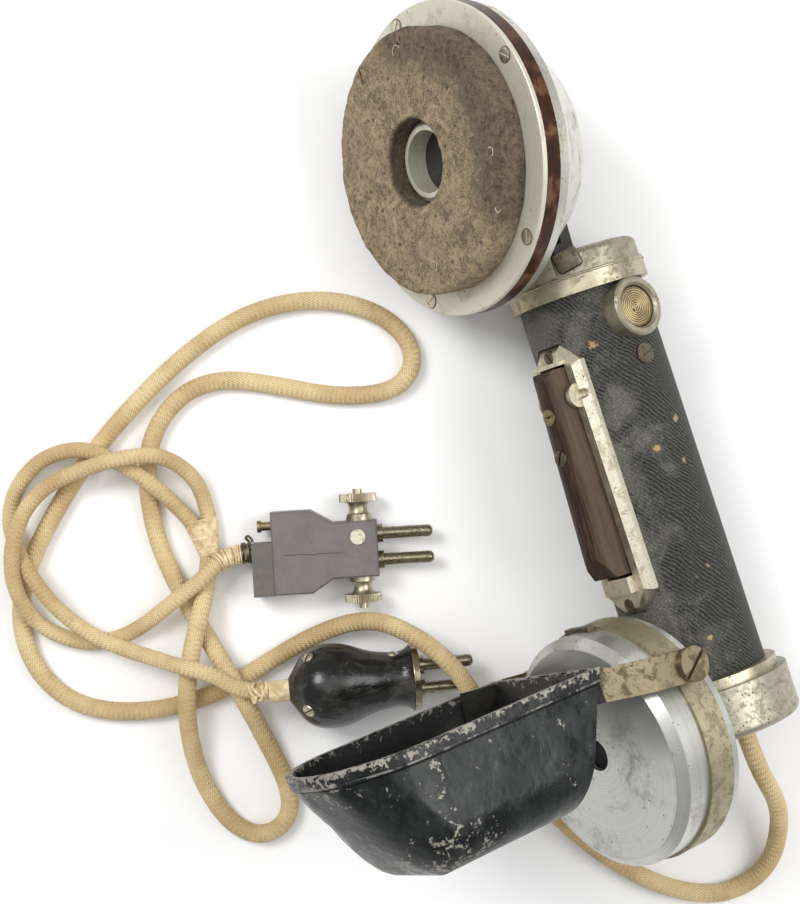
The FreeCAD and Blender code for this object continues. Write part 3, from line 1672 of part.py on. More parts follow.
def make_cord_fittings(along, sideways):
    """The string bound round the split and round the pear plug's cord, and the flat plug's coil."""
    circle = Part.Wire(Part.makeCircle(size("cord_radius + edge_ease"), SPLIT_START, along))
    wide = SPLIT_END + sideways * size("split_half_width")
    high = SPLIT_END + UPWARD * size("split_half_height")
    oval = Part.Wire(Part.Ellipse(wide, high, SPLIT_END).toShape())
    binding = Part.makeLoft([circle, oval], True, True)
    bore_radius = size("branch_radius + fit_gap")
    coil = Part.makeCylinder(size("coil_radius"), size("coil_length"))
    coil = coil.cut(Part.makeCylinder(bore_radius, size("coil_length")))
    mouth = vector(clamp_rear, "plug_inlet_across", "plug_axis_height")
    lay(made_of("cord_coil", at(coil, mouth, -FORWARD)), flat_place)
    whipping = Part.makeCylinder(size("branch_radius + whipping_wall"), size("whipping_length"))
    whipping = whipping.cut(Part.makeCylinder(bore_radius, size("whipping_length")))
    backwards = pear_place.Rotation.multVec(-FORWARD)
    on_floor.append(several("cord_bindings", [binding, at(whipping, pear_place.Base, backwards)]))


# ---- laying the set on the floor ----------------------------------------------------------


def lowest_of_circle(front, height, normal_front, normal_height, radius, pitch):
    """How low a circle of the handset reaches, rolled and pitched about the origin."""
    roll = math.radians(size("pose_roll"))
    up_front = math.sin(roll) * math.cos(pitch)
    up_height = -math.sin(pitch)
    centre = front * up_front + height * up_height
    facing = normal_front * up_front + normal_height * up_height
    return centre - radius * math.sqrt(1 - facing**2)


def resting_pitch():
    """The small slope at which the receiver's rim and the end bracket both touch the floor."""
    tilt = math.radians(size("ear_tilt"))
    rims = []
    for back, radius in ((fibre_back, "ring_radius"), (f"({fibre_back} - shell_rim)", "shell_radius")):
        front = size(back) * math.cos(tilt)
        height = size(ear_height) + size(back) * math.sin(tilt)
        rims.append((front, height, math.cos(tilt), math.sin(tilt), size(radius)))
    low, high = -0.2, 0.2
    for _ in range(40):
        middle = (low + high) / 2
        rim = min(lowest_of_circle(*circle, middle) for circle in rims)
        bracket = lowest_of_circle(0, size(band_low), 0, 1, size("bracket_radius"), middle)
        if rim > bracket:
            low = middle
        else:
            high = middle
    return math.degrees(low)


laid_down = FreeCAD.Rotation(-FORWARD, UPWARD, SIDEWAYS, "XYZ")
rolled = FreeCAD.Rotation(SIDEWAYS, size("pose_roll"))
pitched = FreeCAD.Rotation(FORWARD, -resting_pitch())
pose = FreeCAD.Placement(FreeCAD.Vector(0, 0, 0), pitched.multiply(rolled).multiply(laid_down))
box = FreeCAD.BoundBox()
for item in handset:
    item.Placement = pose.multiply(item.Placement)
    box.add(item.Shape.optimalBoundingBox(True))
lift = -box.ZMin
make_cords()
finish()

# The origin is under the middle of the handset's own box.
centring = FreeCAD.Vector(-(box.XMin + box.XMax) / 2, -(box.YMin + box.YMax) / 2, 0)
print("centring", tuple(centring), "lift", lift)
os.makedirs("parts", exist_ok=True)
for item in handset:
    item.Placement.Base = item.Placement.Base + centring + FreeCAD.Vector(0, 0, lift)
for item in on_floor:
    item.Placement.Base = item.Placement.Base + centring
doc.recompute()
finish()
for item in handset + on_floor:
    item.Shape.exportStep(f"parts/{item.Label}.step")
print(len(handset + on_floor), "sub-parts written")
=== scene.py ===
import json
import math

import bmesh
import bpy
from mathutils import Matrix, Vector, noise


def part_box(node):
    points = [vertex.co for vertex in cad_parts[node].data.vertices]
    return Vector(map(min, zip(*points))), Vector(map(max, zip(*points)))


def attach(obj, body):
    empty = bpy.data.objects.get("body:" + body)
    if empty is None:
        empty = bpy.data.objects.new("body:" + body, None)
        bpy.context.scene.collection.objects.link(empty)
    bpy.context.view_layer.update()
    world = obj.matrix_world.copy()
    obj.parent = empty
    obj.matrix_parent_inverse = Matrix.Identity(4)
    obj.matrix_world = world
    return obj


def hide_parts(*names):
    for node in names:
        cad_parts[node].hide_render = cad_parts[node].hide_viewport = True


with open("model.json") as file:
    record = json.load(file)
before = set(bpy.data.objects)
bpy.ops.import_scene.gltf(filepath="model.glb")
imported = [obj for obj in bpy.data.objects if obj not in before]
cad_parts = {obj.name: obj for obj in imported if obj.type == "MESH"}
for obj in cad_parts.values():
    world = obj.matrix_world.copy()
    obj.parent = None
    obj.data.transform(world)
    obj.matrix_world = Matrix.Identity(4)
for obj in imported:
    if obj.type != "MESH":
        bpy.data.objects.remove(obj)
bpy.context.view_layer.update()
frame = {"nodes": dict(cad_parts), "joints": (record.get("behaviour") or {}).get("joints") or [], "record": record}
cadNodes = frame["nodes"]
mm = 0.001

# camera, straight above the set

cameraSettings = {
    "place": (-18.64, 6.50, 600.0),  # mm
    "turn": -18.0,  # degrees about the line of sight
    "lens": 72.88,
    "sensor": 36.0,
}


def addCamera():
    camera = bpy.data.objects.new("camera", bpy.data.cameras.new("camera"))
    bpy.context.scene.collection.objects.link(camera)
    camera.location = Vector(cameraSettings["place"]) * mm
    camera.rotation_euler = (0, 0, math.radians(cameraSettings["turn"]))
    camera.data.sensor_fit = "AUTO"
    camera.data.sensor_width = cameraSettings["sensor"]
    camera.data.lens = cameraSettings["lens"]
    camera.data.clip_start = 0.01
    bpy.context.scene.camera = camera


addCamera()
print("camera is in place")

# places of the handle, the receiver and the capsule, read from the frame


def middleOf(node):
    low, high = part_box(node)
    return (Vector(low) + Vector(high)) / 2


def jointAxis(name):
    joint = next(item for item in frame["joints"] if item["name"] == name)
    return Vector(joint["axis"]).normalized()


def axesMatrix(origin, forward, side, up):
    turn = Matrix((forward, side, up)).transposed().to_4x4()
    return Matrix.Translation(origin) @ turn


handleSettings = {
    "collarMiddle": 17.7,  # mm up the handle from its origin
    "receiverHeight": 63.1,
    "capsuleHeight": -118.5,
    "buttonHeight": 5.6,
}
plugBacks = {"flat": 36.15, "pear": 44.95}  # mm from a plug's origin forward to its pins' mounts
mounts = {item["name"]: item for item in frame["record"]["mounts"]}
upHandle = (middleOf("top_collar") - middleOf("bottom_band")).normalized()
toSide = -jointAxis("button_push")
toFront = toSide.cross(upHandle).normalized()
handleOrigin = middleOf("top_collar") - upHandle * handleSettings["collarMiddle"] * mm
handlePlace = axesMatrix(handleOrigin, toFront, toSide, upHandle)
listening = Vector(mounts["ear_face"]["axis"]).normalized()


def placeUp(setting, forward, side, up):
    # axes whose origin is at one of the heights on the handle
    origin = handleOrigin + upHandle * handleSettings[setting] * mm
    return axesMatrix(origin, forward, side, up)


def plugPlace(first, second, back):
    # axes of a plug whose pins these are
    forward = Vector(mounts[first]["axis"]).normalized()
    firstMiddle = Vector(mounts[first]["pos_m"])
    secondMiddle = Vector(mounts[second]["pos_m"])
    side = (firstMiddle - secondMiddle).normalized()
    up = forward.cross(side).normalized()
    origin = (firstMiddle + secondMiddle) / 2 - forward * back * mm
    return axesMatrix(origin, forward, side, up)


receiverPlace = placeUp("receiverHeight", toSide.cross(listening).normalized(), toSide, listening)
capsulePlace = placeUp("capsuleHeight", -upHandle, toSide, toFront)
buttonPlace = placeUp("buttonHeight", toFront, -upHandle, toSide)
flatPlace = plugPlace("flat_pin_a", "flat_pin_b", plugBacks["flat"])
pearPlace = plugPlace("pear_pin_b", "pear_pin_a", plugBacks["pear"])

# shader maths as plain expressions


class Value:
    def __init__(self, recipe, socket):
        self.recipe = recipe
        self.socket = socket

    def combine(self, operation, *others):
        return self.recipe.maths(operation, self, *others)

    def __add__(self, other):
        return self.combine("ADD", other)

    def __radd__(self, other):
        return self.combine("ADD", other)

    def __sub__(self, other):
        return self.combine("SUBTRACT", other)

    def __rsub__(self, other):
        return self.recipe.maths("SUBTRACT", other, self)

    def __mul__(self, other):
        return self.combine("MULTIPLY", other)

    def __rmul__(self, other):
        return self.combine("MULTIPLY", other)

    def __truediv__(self, other):
        return self.combine("DIVIDE", other)


class Recipe:
    def __init__(self, name):
        self.material = bpy.data.materials.new(name)
        self.material.use_nodes = True
        self.tree = self.material.node_tree
        self.shader = self.tree.nodes["Principled BSDF"]

    def feed(self, socket, value):
        if isinstance(value, Value):
            self.tree.links.new(value.socket, socket)
        else:
            socket.default_value = value

    def node(self, kind, settings=None, inputs=None, output=0):
        made = self.tree.nodes.new(kind)
        for key, value in (settings or {}).items():
            setattr(made, key, value)
        for key, value in (inputs or {}).items():
            self.feed(made.inputs[key], value)
        return Value(self, made.outputs[output])

    def maths(self, operation, *values):
        return self.node("ShaderNodeMath", {"operation": operation}, dict(enumerate(values)))

    def coords(self, place=None):
        # object coordinates in millimetres, seen from a place
        source = self.node("ShaderNodeTexCoord", output="Object")
        place = place or Matrix.Identity(4)
        inputs = {
            "Vector": source,
            "Location": place.translation,
            "Rotation": place.to_euler(),
            "Scale": (mm, mm, mm),
        }
        return self.node("ShaderNodeMapping", {"vector_type": "TEXTURE"}, inputs)

    def split(self, vector):
        made = self.node("ShaderNodeSeparateXYZ", inputs={"Vector": vector}).socket.node
        return [Value(self, made.outputs[index]) for index in range(3)]

    def joined(self, x, y, z):
        return self.node("ShaderNodeCombineXYZ", inputs={"X": x, "Y": y, "Z": z})

    def grain(self, vector, size, detail=3.0, rough=0.55, warp=0.0):
        inputs = {
            "Vector": vector, "Scale": 1 / size, "Detail": detail,
            "Roughness": rough, "Distortion": warp,
        }
        return self.node("ShaderNodeTexNoise", inputs=inputs)

    def cells(self, vector, size):
        return self.node("ShaderNodeTexVoronoi", inputs={"Vector": vector, "Scale": 1 / size})

    def step(self, value, low, high):
        settings = {"interpolation_type": "SMOOTHSTEP"}
        inputs = {"Value": value, "From Min": low, "From Max": high}
        return self.node("ShaderNodeMapRange", settings, inputs)

    def mix(self, share, first, second):
        made = self.tree.nodes.new("ShaderNodeMix")
        made.data_type = "RGBA"
        self.feed(made.inputs[0], share)
        for socket, colour in ((made.inputs[6], first), (made.inputs[7], second)):
            self.feed(socket, colour if isinstance(colour, Value) else (*colour, 1.0))
        return Value(self, made.outputs[2])

    def distance(self, vector, point):
        settings = {"operation": "DISTANCE"}
        return self.node("ShaderNodeVectorMath", settings, {0: vector, 1: point}, 1)

    def nearPoint(self, vector, point, radius, edge=0.5, wander=0.0):
        # 1 inside a ball about a point, 0 outside it; wander makes its edge uneven
        apart = self.distance(vector, point) + wander
        return 1 - self.step(apart, radius - edge, radius + edge)

    def bump(self, height):
        # height in millimetres
        inputs = {"Height": height * mm, "Distance": 1.0, "Strength": 1.0}
        return self.node("ShaderNodeBump", inputs=inputs)

    def finish(self, colour, rough, metallic=0.0, height=None, **fixed):
        self.feed(self.shader.inputs["Base Color"], colour)
        self.feed(self.shader.inputs["Roughness"], rough)
        self.feed(self.shader.inputs["Metallic"], metallic)
        if height is not None:
            self.feed(self.shader.inputs["Normal"], self.bump(height))
        for name, value in fixed.items():
            self.shader.inputs[name.replace("_", " ")].default_value = value
        return self.material


# metals: worn colour, tarnish in patches, dark specks, fine turning marks

usualLook = {
    "rough": 0.34,
    "metal": 1.0,
    "dull": 0.25,  # metallic lost where it is tarnished
    "patch": 9.0,  # mm, size of the tarnished patches
    "tarnishFrom": 0.50,
    "tarnishTo": 0.68,
    "speckSize": 1.6,
    "speckFrom": 0.50,
    "speckShare": 0.8,
    "turning": 0.35,
    "turnDepth": 0.012,
    "grainDepth": 0.02,
    "seats": [],  # points and radii of screws with dirt round them
}


def wornMetal(name, place, ownLook):
    look = {**usualLook, **ownLook}
    recipe = Recipe(name)
    here = recipe.coords(place)
    x, y, z = recipe.split(here)
    around = recipe.maths("SQRT", x * x + y * y)
    turning = recipe.grain(recipe.joined(around, z, 0.0), look["turning"], 2.0, 0.6)
    patches = recipe.grain(here, look["patch"], 6.0, 0.62, 0.6)
    fine = recipe.grain(here, 0.8, 4.0, 0.7)
    specks = 1 - recipe.step(recipe.cells(here, look["speckSize"]), 0.12, 0.3)
    specks = specks * recipe.step(recipe.grain(here, 4.5, 3.0), look["speckFrom"], 0.66)
    tarnish = recipe.step(patches + (fine - 0.5) * 0.35, look["tarnishFrom"], look["tarnishTo"])
    colour = recipe.mix(tarnish, look["bright"], look["tarnish"])
    colour = recipe.mix(recipe.step(turning, 0.3, 0.75) * 0.45, colour, look["tarnish"])
    colour = recipe.mix(specks * look["speckShare"], colour, look["dark"])
    for spot, radius in look["seats"]:
        fromEdge = recipe.maths("ABSOLUTE", recipe.distance(here, spot) - radius)
        seat = 1 - recipe.step(fromEdge, 0.12, 0.34)
        colour = recipe.mix(seat * 0.9, colour, look["dark"])
    rough = look["rough"] + (fine - 0.5) * 0.22 + tarnish * 0.16 + specks * 0.2
    height = turning * look["turnDepth"] + fine * look["grainDepth"] - specks * 0.05
    metallic = look["metal"] - specks * 0.4 - tarnish * look["dull"]
    if "blackBeyond" in look:
        # paint runs over the metal from this height on
        black = recipe.step(z, look["blackBeyond"], look["blackBeyond"] + 0.5)
        colour = recipe.mix(black * 0.98, colour, (0.003, 0.003, 0.003))
        metallic = metallic * (1 - black)
        rough = rough + black * 0.4
    return recipe.finish(colour, rough, metallic, height)


metalLooks = {
    "aluminium": {
        "bright": (0.60, 0.60, 0.57), "tarnish": (0.34, 0.33, 0.285), "dark": (0.09, 0.08, 0.06),
        "patch": 12.0, "tarnishFrom": 0.47, "tarnishTo": 0.75, "speckFrom": 0.54, "metal": 0.85,
    },
    "shell": {
        "bright": (0.63, 0.61, 0.55), "tarnish": (0.35, 0.33, 0.265), "dark": (0.11, 0.09, 0.06),
        "rough": 0.32, "turnDepth": 0.03, "metal": 0.75,
    },
    "silver": {
        "bright": (0.68, 0.655, 0.56), "tarnish": (0.46, 0.42, 0.32), "dark": (0.11, 0.09, 0.06),
        "rough": 0.46, "patch": 7.0, "tarnishTo": 0.76, "speckFrom": 0.54,
        "turnDepth": 0.0, "dull": 0.2, "metal": 0.5,
    },
    "capMetal": {
        "bright": (0.41, 0.38, 0.295), "tarnish": (0.27, 0.24, 0.175), "dark": (0.08, 0.065, 0.04),
        "rough": 0.46, "patch": 3.6, "tarnishFrom": 0.40, "speckFrom": 0.42, "grainDepth": 0.06,
    },
    "castMetal": {
        "bright": (0.44, 0.415, 0.335), "tarnish": (0.28, 0.25, 0.185), "dark": (0.07, 0.055, 0.035),
        "rough": 0.44, "patch": 3.4, "tarnishFrom": 0.42, "speckFrom": 0.40, "grainDepth": 0.07,
    },
    "nickel": {
        "bright": (0.50, 0.455, 0.34), "tarnish": (0.27, 0.235, 0.155), "dark": (0.08, 0.065, 0.04),
        "rough": 0.38, "patch": 5.0, "tarnishFrom": 0.46, "speckFrom": 0.46,
    },
    "bandNickel": {
        "bright": (0.44, 0.395, 0.27), "tarnish": (0.25, 0.22, 0.14), "dark": (0.10, 0.08, 0.05),
        "rough": 0.50, "patch": 4.0, "tarnishFrom": 0.42, "tarnishTo": 0.62,
        "speckFrom": 0.44, "grainDepth": 0.05,
    },
    "frameMetal": {
        "bright": (0.72, 0.68, 0.56), "tarnish": (0.45, 0.40, 0.29), "dark": (0.09, 0.07, 0.04),
        "rough": 0.36, "patch": 3.2, "tarnishFrom": 0.44, "speckSize": 1.0, "speckFrom": 0.40,
    },
    "strapMetal": {
        "bright": (0.40, 0.335, 0.215), "tarnish": (0.13, 0.10, 0.055), "dark": (0.05, 0.04, 0.025),
        "rough": 0.32, "patch": 4.0, "tarnishFrom": 0.45, "tarnishTo": 0.60,
        "turnDepth": 0.0, "blackBeyond": 61.2,
    },
    "brass": {
        "bright": (0.36, 0.29, 0.165), "tarnish": (0.19, 0.145, 0.075), "dark": (0.05, 0.04, 0.02),
        "rough": 0.38, "patch": 2.0, "tarnishFrom": 0.42,
    },
    "oldSteel": {
        "bright": (0.19, 0.16, 0.12), "tarnish": (0.075, 0.06, 0.042), "dark": (0.02, 0.017, 0.012),
        "rough": 0.42, "patch": 2.0, "tarnishFrom": 0.42,
    },
    "screwSilver": {
        "bright": (0.62, 0.58, 0.46), "tarnish": (0.36, 0.32, 0.22), "dark": (0.06, 0.05, 0.03),
        "patch": 2.0,
    },
    "pinMetal": {
        "bright": (0.32, 0.28, 0.195), "tarnish": (0.15, 0.125, 0.075), "dark": (0.05, 0.04, 0.025),
        "rough": 0.26, "patch": 2.0, "tarnishFrom": 0.46,
    },
}


def feltMaterial():
    recipe = Recipe("dustyFelt")
    here = recipe.coords(receiverPlace)
    x, y, z = recipe.split(here)
    clumps = recipe.grain(here, 5.0, 6.0, 0.66, 0.8)
    tufts = recipe.grain(here, 1.3, 6.0, 0.72, 0.9)
    dust = recipe.grain(here, 0.30, 3.0, 0.78)
    hairs = recipe.grain(recipe.joined(x * 0.35, y, z), 0.5, 4.0, 0.7, 2.2)
    pits = 1 - recipe.step(recipe.cells(here, 2.9), 0.06, 0.34)
    pits = pits * recipe.step(recipe.grain(here, 5.0, 4.0, 0.6), 0.52, 0.60)
    # the nap is darker along the upper right
    out = recipe.maths("SQRT", x * x + y * y)
    rubbed = recipe.step(out + (clumps - 0.5) * 34.0 + (tufts - 0.5) * 10.0, 26.0, 32.0)
    rubbed = rubbed * recipe.step(y * 0.85 - x * 0.40 + (clumps - 0.5) * 20.0, 8.0, 17.0)
    cut = 1 - recipe.step(recipe.maths("ABSOLUTE", y + 15.4 + (tufts - 0.5) * 1.6), 0.25, 0.65)
    cut = cut * (1 - recipe.step(x, -31.5, -29.5))
    body = clumps * 0.34 + tufts * 0.42 + hairs * 0.24
    colour = recipe.mix(recipe.step(body, 0.42, 0.57), (0.125, 0.082, 0.044), (0.48, 0.355, 0.205))
    colour = recipe.mix(recipe.step(dust, 0.50, 0.70) * 0.80, colour, (0.70, 0.56, 0.37))
    colour = recipe.mix(recipe.step(dust, 0.48, 0.28) * 0.85, colour, (0.050, 0.031, 0.015))
    darkNap = recipe.mix(recipe.step(body, 0.40, 0.60), (0.030, 0.020, 0.012), (0.150, 0.108, 0.068))
    colour = recipe.mix(rubbed * 0.78, colour, darkNap)
    # painted shade: the felt is coloured darker towards the hole's edge, where it falls away into the hole
    colour = recipe.mix(recipe.step(out, 14.2, 12.9) * 0.75, colour, (0.030, 0.021, 0.013))
    marks = recipe.maths("MAXIMUM", pits * 0.8, cut * 0.9)
    colour = recipe.mix(marks, colour, (0.026, 0.016, 0.009))
    height = (
        clumps * 0.55 + tufts * 0.9 + dust * 0.5 + hairs * 0.2
        - pits * 0.9 - rubbed * 0.3 - cut * 1.2
    )
    return recipe.finish(colour, 0.97, 0.0, height, Sheen_Weight=0.05, Sheen_Roughness=0.6)


def fibreMaterial():
    recipe = Recipe("redFibre")
    here = recipe.coords(receiverPlace)
    x, y, z = recipe.split(here)
    layers = recipe.grain(recipe.joined(x * 0.06, y * 0.06, z * 2.2), 1.0, 4.0, 0.6)
    patches = recipe.grain(here, 6.0, 4.0, 0.6)
    worn = recipe.step(patches + layers * 0.3, 0.66, 0.8)
    colour = recipe.mix(
        recipe.step(patches, 0.34, 0.66), (0.014, 0.0052, 0.0034), (0.066, 0.0205, 0.0078),
    )
    colour = recipe.mix(layers * 0.34, colour, (0.070, 0.024, 0.010))
    colour = recipe.mix(worn * 0.5, colour, (0.17, 0.10, 0.05))
    return recipe.finish(colour, 0.30 + worn * 0.3, 0.0, layers * 0.05, Specular_IOR_Level=0.2)


def leatherMaterial():
    # pressed ribs that climb round the grip, rubbed flat and grey where the hand goes
    recipe = Recipe("ribbedLeather")
    here = recipe.coords(handlePlace)
    x, y, z = recipe.split(here)
    wobble = recipe.grain(here, 14.0, 3.0) - 0.5
    around = recipe.maths("ARCTAN2", y, x) / math.tau
    spread = around * 81.0 + z / 1.72 + wobble * 4.2
    rib = 0.5 + recipe.maths("SINE", spread * math.tau) * 0.5
    pebble = recipe.grain(here, 0.62, 4.0, 0.7)
    dots = recipe.grain(here, 0.3, 2.0, 0.6)
    wearing = recipe.grain(here, 15.0, 5.0, 0.62, 0.5)
    rubbed = recipe.step(wearing + (x - 12.0) * 0.012 + (pebble - 0.5) * 0.2, 0.42, 0.66)
    ribShow = (1 - rubbed * 0.72) * (0.45 + recipe.step(pebble, 0.35, 0.6) * 0.55)
    patch = recipe.grain(here, 2.4, 5.0, 0.66)
    streak = recipe.grain(recipe.joined(x, y, z * 0.22), 1.3, 4.0, 0.65)
    dusty = recipe.step(streak * 0.6 + dots * 0.4, 0.56, 0.72)
    # painted sheen: the ribs' crests are coloured lighter than the hollows between them
    colour = recipe.mix(rib * ribShow, (0.004, 0.0044, 0.0036), (0.082, 0.083, 0.068))
    flattened = recipe.mix(pebble, (0.036, 0.035, 0.029), (0.185, 0.178, 0.148))
    colour = recipe.mix(rubbed * 0.85, colour, flattened)
    colour = recipe.mix(
        recipe.step(dots, 0.58, 0.70) * (0.34 + rubbed * 0.4), colour, (0.36, 0.345, 0.29),
    )
    colour = recipe.mix(dusty * 0.34, colour, (0.21, 0.205, 0.175))
    colour = recipe.mix(recipe.step(patch, 0.64, 0.72) * 0.55, colour, (0.26, 0.25, 0.20))
    nicks = [
        ((14.1, 14.1, -1.5), 1.2), ((-4.1, 19.5, -30.5), 1.1), ((6.5, 18.8, -37.5), 0.8),
        ((-1.7, 19.8, -43.5), 0.7), ((8.7, 17.9, -97.0), 0.6), ((2.5, 19.7, -76.0), 0.5),
    ]
    for spot, radius in nicks:
        torn = recipe.nearPoint(here, spot, radius, 0.3, (patch - 0.5) * 4.0 + (pebble - 0.5) * 1.8)
        colour = recipe.mix(torn * 0.85, colour, (0.42, 0.30, 0.165))
    height = rib * ribShow * 0.17 + pebble * 0.16 + dots * 0.07
    return recipe.finish(colour, 0.52 + (pebble - 0.5) * 0.3, 0.0, height, Specular_IOR_Level=0.2)


def leverMaterial():
    recipe = Recipe("darkHardwood")
    here = recipe.coords(handlePlace)
    x, y, z = recipe.split(here)
    grain = recipe.grain(recipe.joined(x, y, z * 0.05), 0.8, 5.0, 0.62, 0.4)
    worn = recipe.grain(recipe.joined(x, y, z * 0.3), 4.0, 4.0, 0.6)
    edge = recipe.step(recipe.maths("ABSOLUTE", y), 4.2, 5.6)
    pale = recipe.step(worn + edge * 0.22 + grain * 0.2, 0.66, 0.88)
    side = recipe.step(y, 3.0, 4.6)
    colour = recipe.mix(
        recipe.step(grain, 0.32, 0.70), (0.016, 0.008, 0.0055), (0.062, 0.033, 0.021),
    )
    colour = recipe.mix(pale * 0.36, colour, (0.145, 0.10, 0.066))
    colour = recipe.mix(side * (0.15 + grain * 0.5), colour, (0.10, 0.078, 0.046))
    dust = recipe.step(recipe.grain(here, 0.7, 4.0, 0.7), 0.62, 0.7)
    colour = recipe.mix(dust * 0.3, colour, (0.19, 0.15, 0.11))
    height = grain * 0.07 + worn * 0.05
    return recipe.finish(colour, 0.46 + pale * 0.2, 0.0, height, Specular_IOR_Level=0.22)


def enamelMaterial():
    # black gloss paint, chipped along the rim, the throat's edges, the ridge
    # and the nose's underside
    recipe = Recipe("chippedEnamel")
    here = recipe.coords(capsulePlace)
    x, y, z = recipe.split(here)
    flow = recipe.grain(here, 16.0, 3.0, 0.5)
    cloud = recipe.grain(here, 7.0, 5.0, 0.66, 0.6)
    ragged = recipe.grain(here, 4.2, 6.0, 0.66, 0.8)
    fine = recipe.grain(here, 1.1, 4.0, 0.7)
    dust = recipe.grain(here, 0.42, 3.0, 0.7)
    rim = 1 - recipe.step(x, -28.3, -24.6)
    back = 1 - recipe.step(z, 61.5, 63.5)
    ridge = 1 - recipe.step(recipe.maths("ABSOLUTE", z - 124.0 + (cloud - 0.5) * 9.0), 0.8, 5.0)
    under = recipe.step(x + (cloud - 0.5) * 10.0, -8.0, 5.0) * recipe.step(z, 106.0, 116.0)
    front = recipe.step(z, 136.0, 147.0) * (1 - recipe.step(x, -26.0, -12.0))
    edge = recipe.maths("MAXIMUM", rim * 1.25, back)
    edge = recipe.maths("MAXIMUM", edge, recipe.maths("MAXIMUM", ridge * 0.85, under * 0.8))
    edge = recipe.maths("MAXIMUM", edge, front * 0.8)
    chips = recipe.step(ragged * 0.62 + fine * 0.38 + edge * 0.110, 0.612, 0.640)
    lone = recipe.step(recipe.grain(here, 2.3, 5.0, 0.7), 0.71, 0.735)
    chips = recipe.maths("MAXIMUM", chips, lone)
    crossed = recipe.grain(recipe.joined(x * 0.25 + z * 0.2, y, z * 0.9), 1.0, 4.0, 0.66)
    along = recipe.grain(recipe.joined(x, y, z * 0.16), 0.8, 4.0, 0.66)
    scratches = recipe.maths(
        "MAXIMUM", recipe.step(crossed, 0.60, 0.72), recipe.step(along, 0.62, 0.74),
    )
    dulled = recipe.step(cloud, 0.40, 0.62)
    # a painted shadow line along the bead's groove below the rim, and a painted highlight along the bead's crest
    # just above it
    groove = 1 - recipe.step(recipe.maths("ABSOLUTE", x + 24.2 + (ragged - 0.5) * 0.25), 0.10, 0.34)
    crest = 1 - recipe.step(recipe.maths("ABSOLUTE", x + 24.9), 0.12, 0.42)
    colour = recipe.mix(dulled, (0.0040, 0.0052, 0.0056), (0.0125, 0.0155, 0.0155))
    colour = recipe.mix(scratches * (0.10 + dulled * 0.22), colour, (0.085, 0.098, 0.092))
    colour = recipe.mix(recipe.step(dust, 0.60, 0.74) * 0.16, colour, (0.18, 0.19, 0.165))
    # painted highlight along the bead's crest, broken up by noise
    colour = recipe.mix(crest * recipe.step(ragged, 0.42, 0.58) * 0.6, colour, (0.30, 0.30, 0.26))
    metal = recipe.mix(fine, (0.14, 0.125, 0.10), (0.46, 0.44, 0.38))
    colour = recipe.mix(chips, colour, metal)
    # painted shadow in the bead's groove
    colour = recipe.mix(groove * 0.9, colour, (0.004, 0.004, 0.004))
    rough = 0.25 + dulled * 0.16 + (fine - 0.5) * 0.12 + chips * 0.3 + scratches * 0.15
    height = flow * 0.9 + cloud * 0.10 + fine * 0.04 + crest * 0.10 - chips * 0.14 - groove * 0.30
    return recipe.finish(colour, rough, chips * 0.35, height, Specular_IOR_Level=0.30)


def hornInsideMaterial():
    # the same paint inside, black but for small chips just under the rim
    recipe = Recipe("insideEnamel")
    here = recipe.coords(capsulePlace)
    x = recipe.split(here)[0]
    ragged = recipe.grain(here, 3.0, 6.0, 0.68, 0.6)
    fine = recipe.grain(here, 0.9, 4.0, 0.7)
    rim = 1 - recipe.step(x, -28.4, -24.0)
    chips = recipe.step(ragged * 0.6 + fine * 0.4 + rim * 0.10, 0.625, 0.65)
    colour = recipe.mix(fine, (0.003, 0.003, 0.003), (0.013, 0.014, 0.013))
    colour = recipe.mix(
        chips * 0.9, colour, recipe.mix(fine, (0.10, 0.09, 0.07), (0.36, 0.34, 0.29)),
    )
    rough = 0.30 + (fine - 0.5) * 0.2 + chips * 0.2
    return recipe.finish(colour, rough, 0.0, fine * 0.05 - chips * 0.12)


def vulcaniteMaterial():
    recipe = Recipe("greyVulcanite")
    here = recipe.coords(flatPlace)
    x, y, z = recipe.split(here)
    cloud = recipe.grain(here, 8.0, 5.0, 0.6, 0.5)
    fine = recipe.grain(here, 0.9, 4.0, 0.7)
    ruffled = recipe.grain(recipe.joined(x * 0.5, y * 1.4, z), 1.4, 4.0, 0.6, 2.0)
    scratches = recipe.step(ruffled, 0.70, 0.75)
    wave = recipe.grain(recipe.joined(x, 0.0, 0.0), 5.0, 3.0)
    crackLine = recipe.maths("ABSOLUTE", y + 1.0 - (wave - 0.5) * 1.4 + (x - 14.0) * 0.01)
    crackEnds = recipe.step(x, 2.0, 4.0) * (1 - recipe.step(x, 20.0, 23.0))
    crack = (1 - recipe.step(crackLine, 0.04, 0.15)) * crackEnds
    colour = recipe.mix(cloud, (0.100, 0.086, 0.083), (0.190, 0.166, 0.158))
    colour = recipe.mix(recipe.step(fine, 0.56, 0.76) * 0.5, colour, (0.30, 0.27, 0.245))
    colour = recipe.mix(scratches * 0.5, colour, (0.42, 0.39, 0.34))
    colour = recipe.mix(crack * 0.7, colour, (0.045, 0.038, 0.035))
    height = fine * 0.03 + cloud * 0.1 - crack * 0.15
    return recipe.finish(colour, 0.50 + (fine - 0.5) * 0.2, 0.0, height)


def pearMaterial():
    recipe = Recipe("blackPear")
    here = recipe.coords(pearPlace)
    x, y, z = recipe.split(here)
    smear = recipe.grain(recipe.joined(x * 0.5, y, z), 6.0, 4.0, 0.6, 0.8)
    fine = recipe.grain(here, 0.7, 4.0, 0.7)
    marks = recipe.step(recipe.grain(here, 2.6, 5.0, 0.7, 1.5), 0.66, 0.71)
    grey = recipe.step(smear + fine * 0.2, 0.56, 0.80)
    colour = recipe.mix(grey, (0.007, 0.007, 0.0062), (0.052, 0.050, 0.043))
    colour = recipe.mix(marks * 0.35, colour, (0.26, 0.24, 0.19))
    rough = 0.22 + grey * 0.2 + (fine - 0.5) * 0.1
    return recipe.finish(colour, rough, 0.0, smear * 0.35 + fine * 0.03)


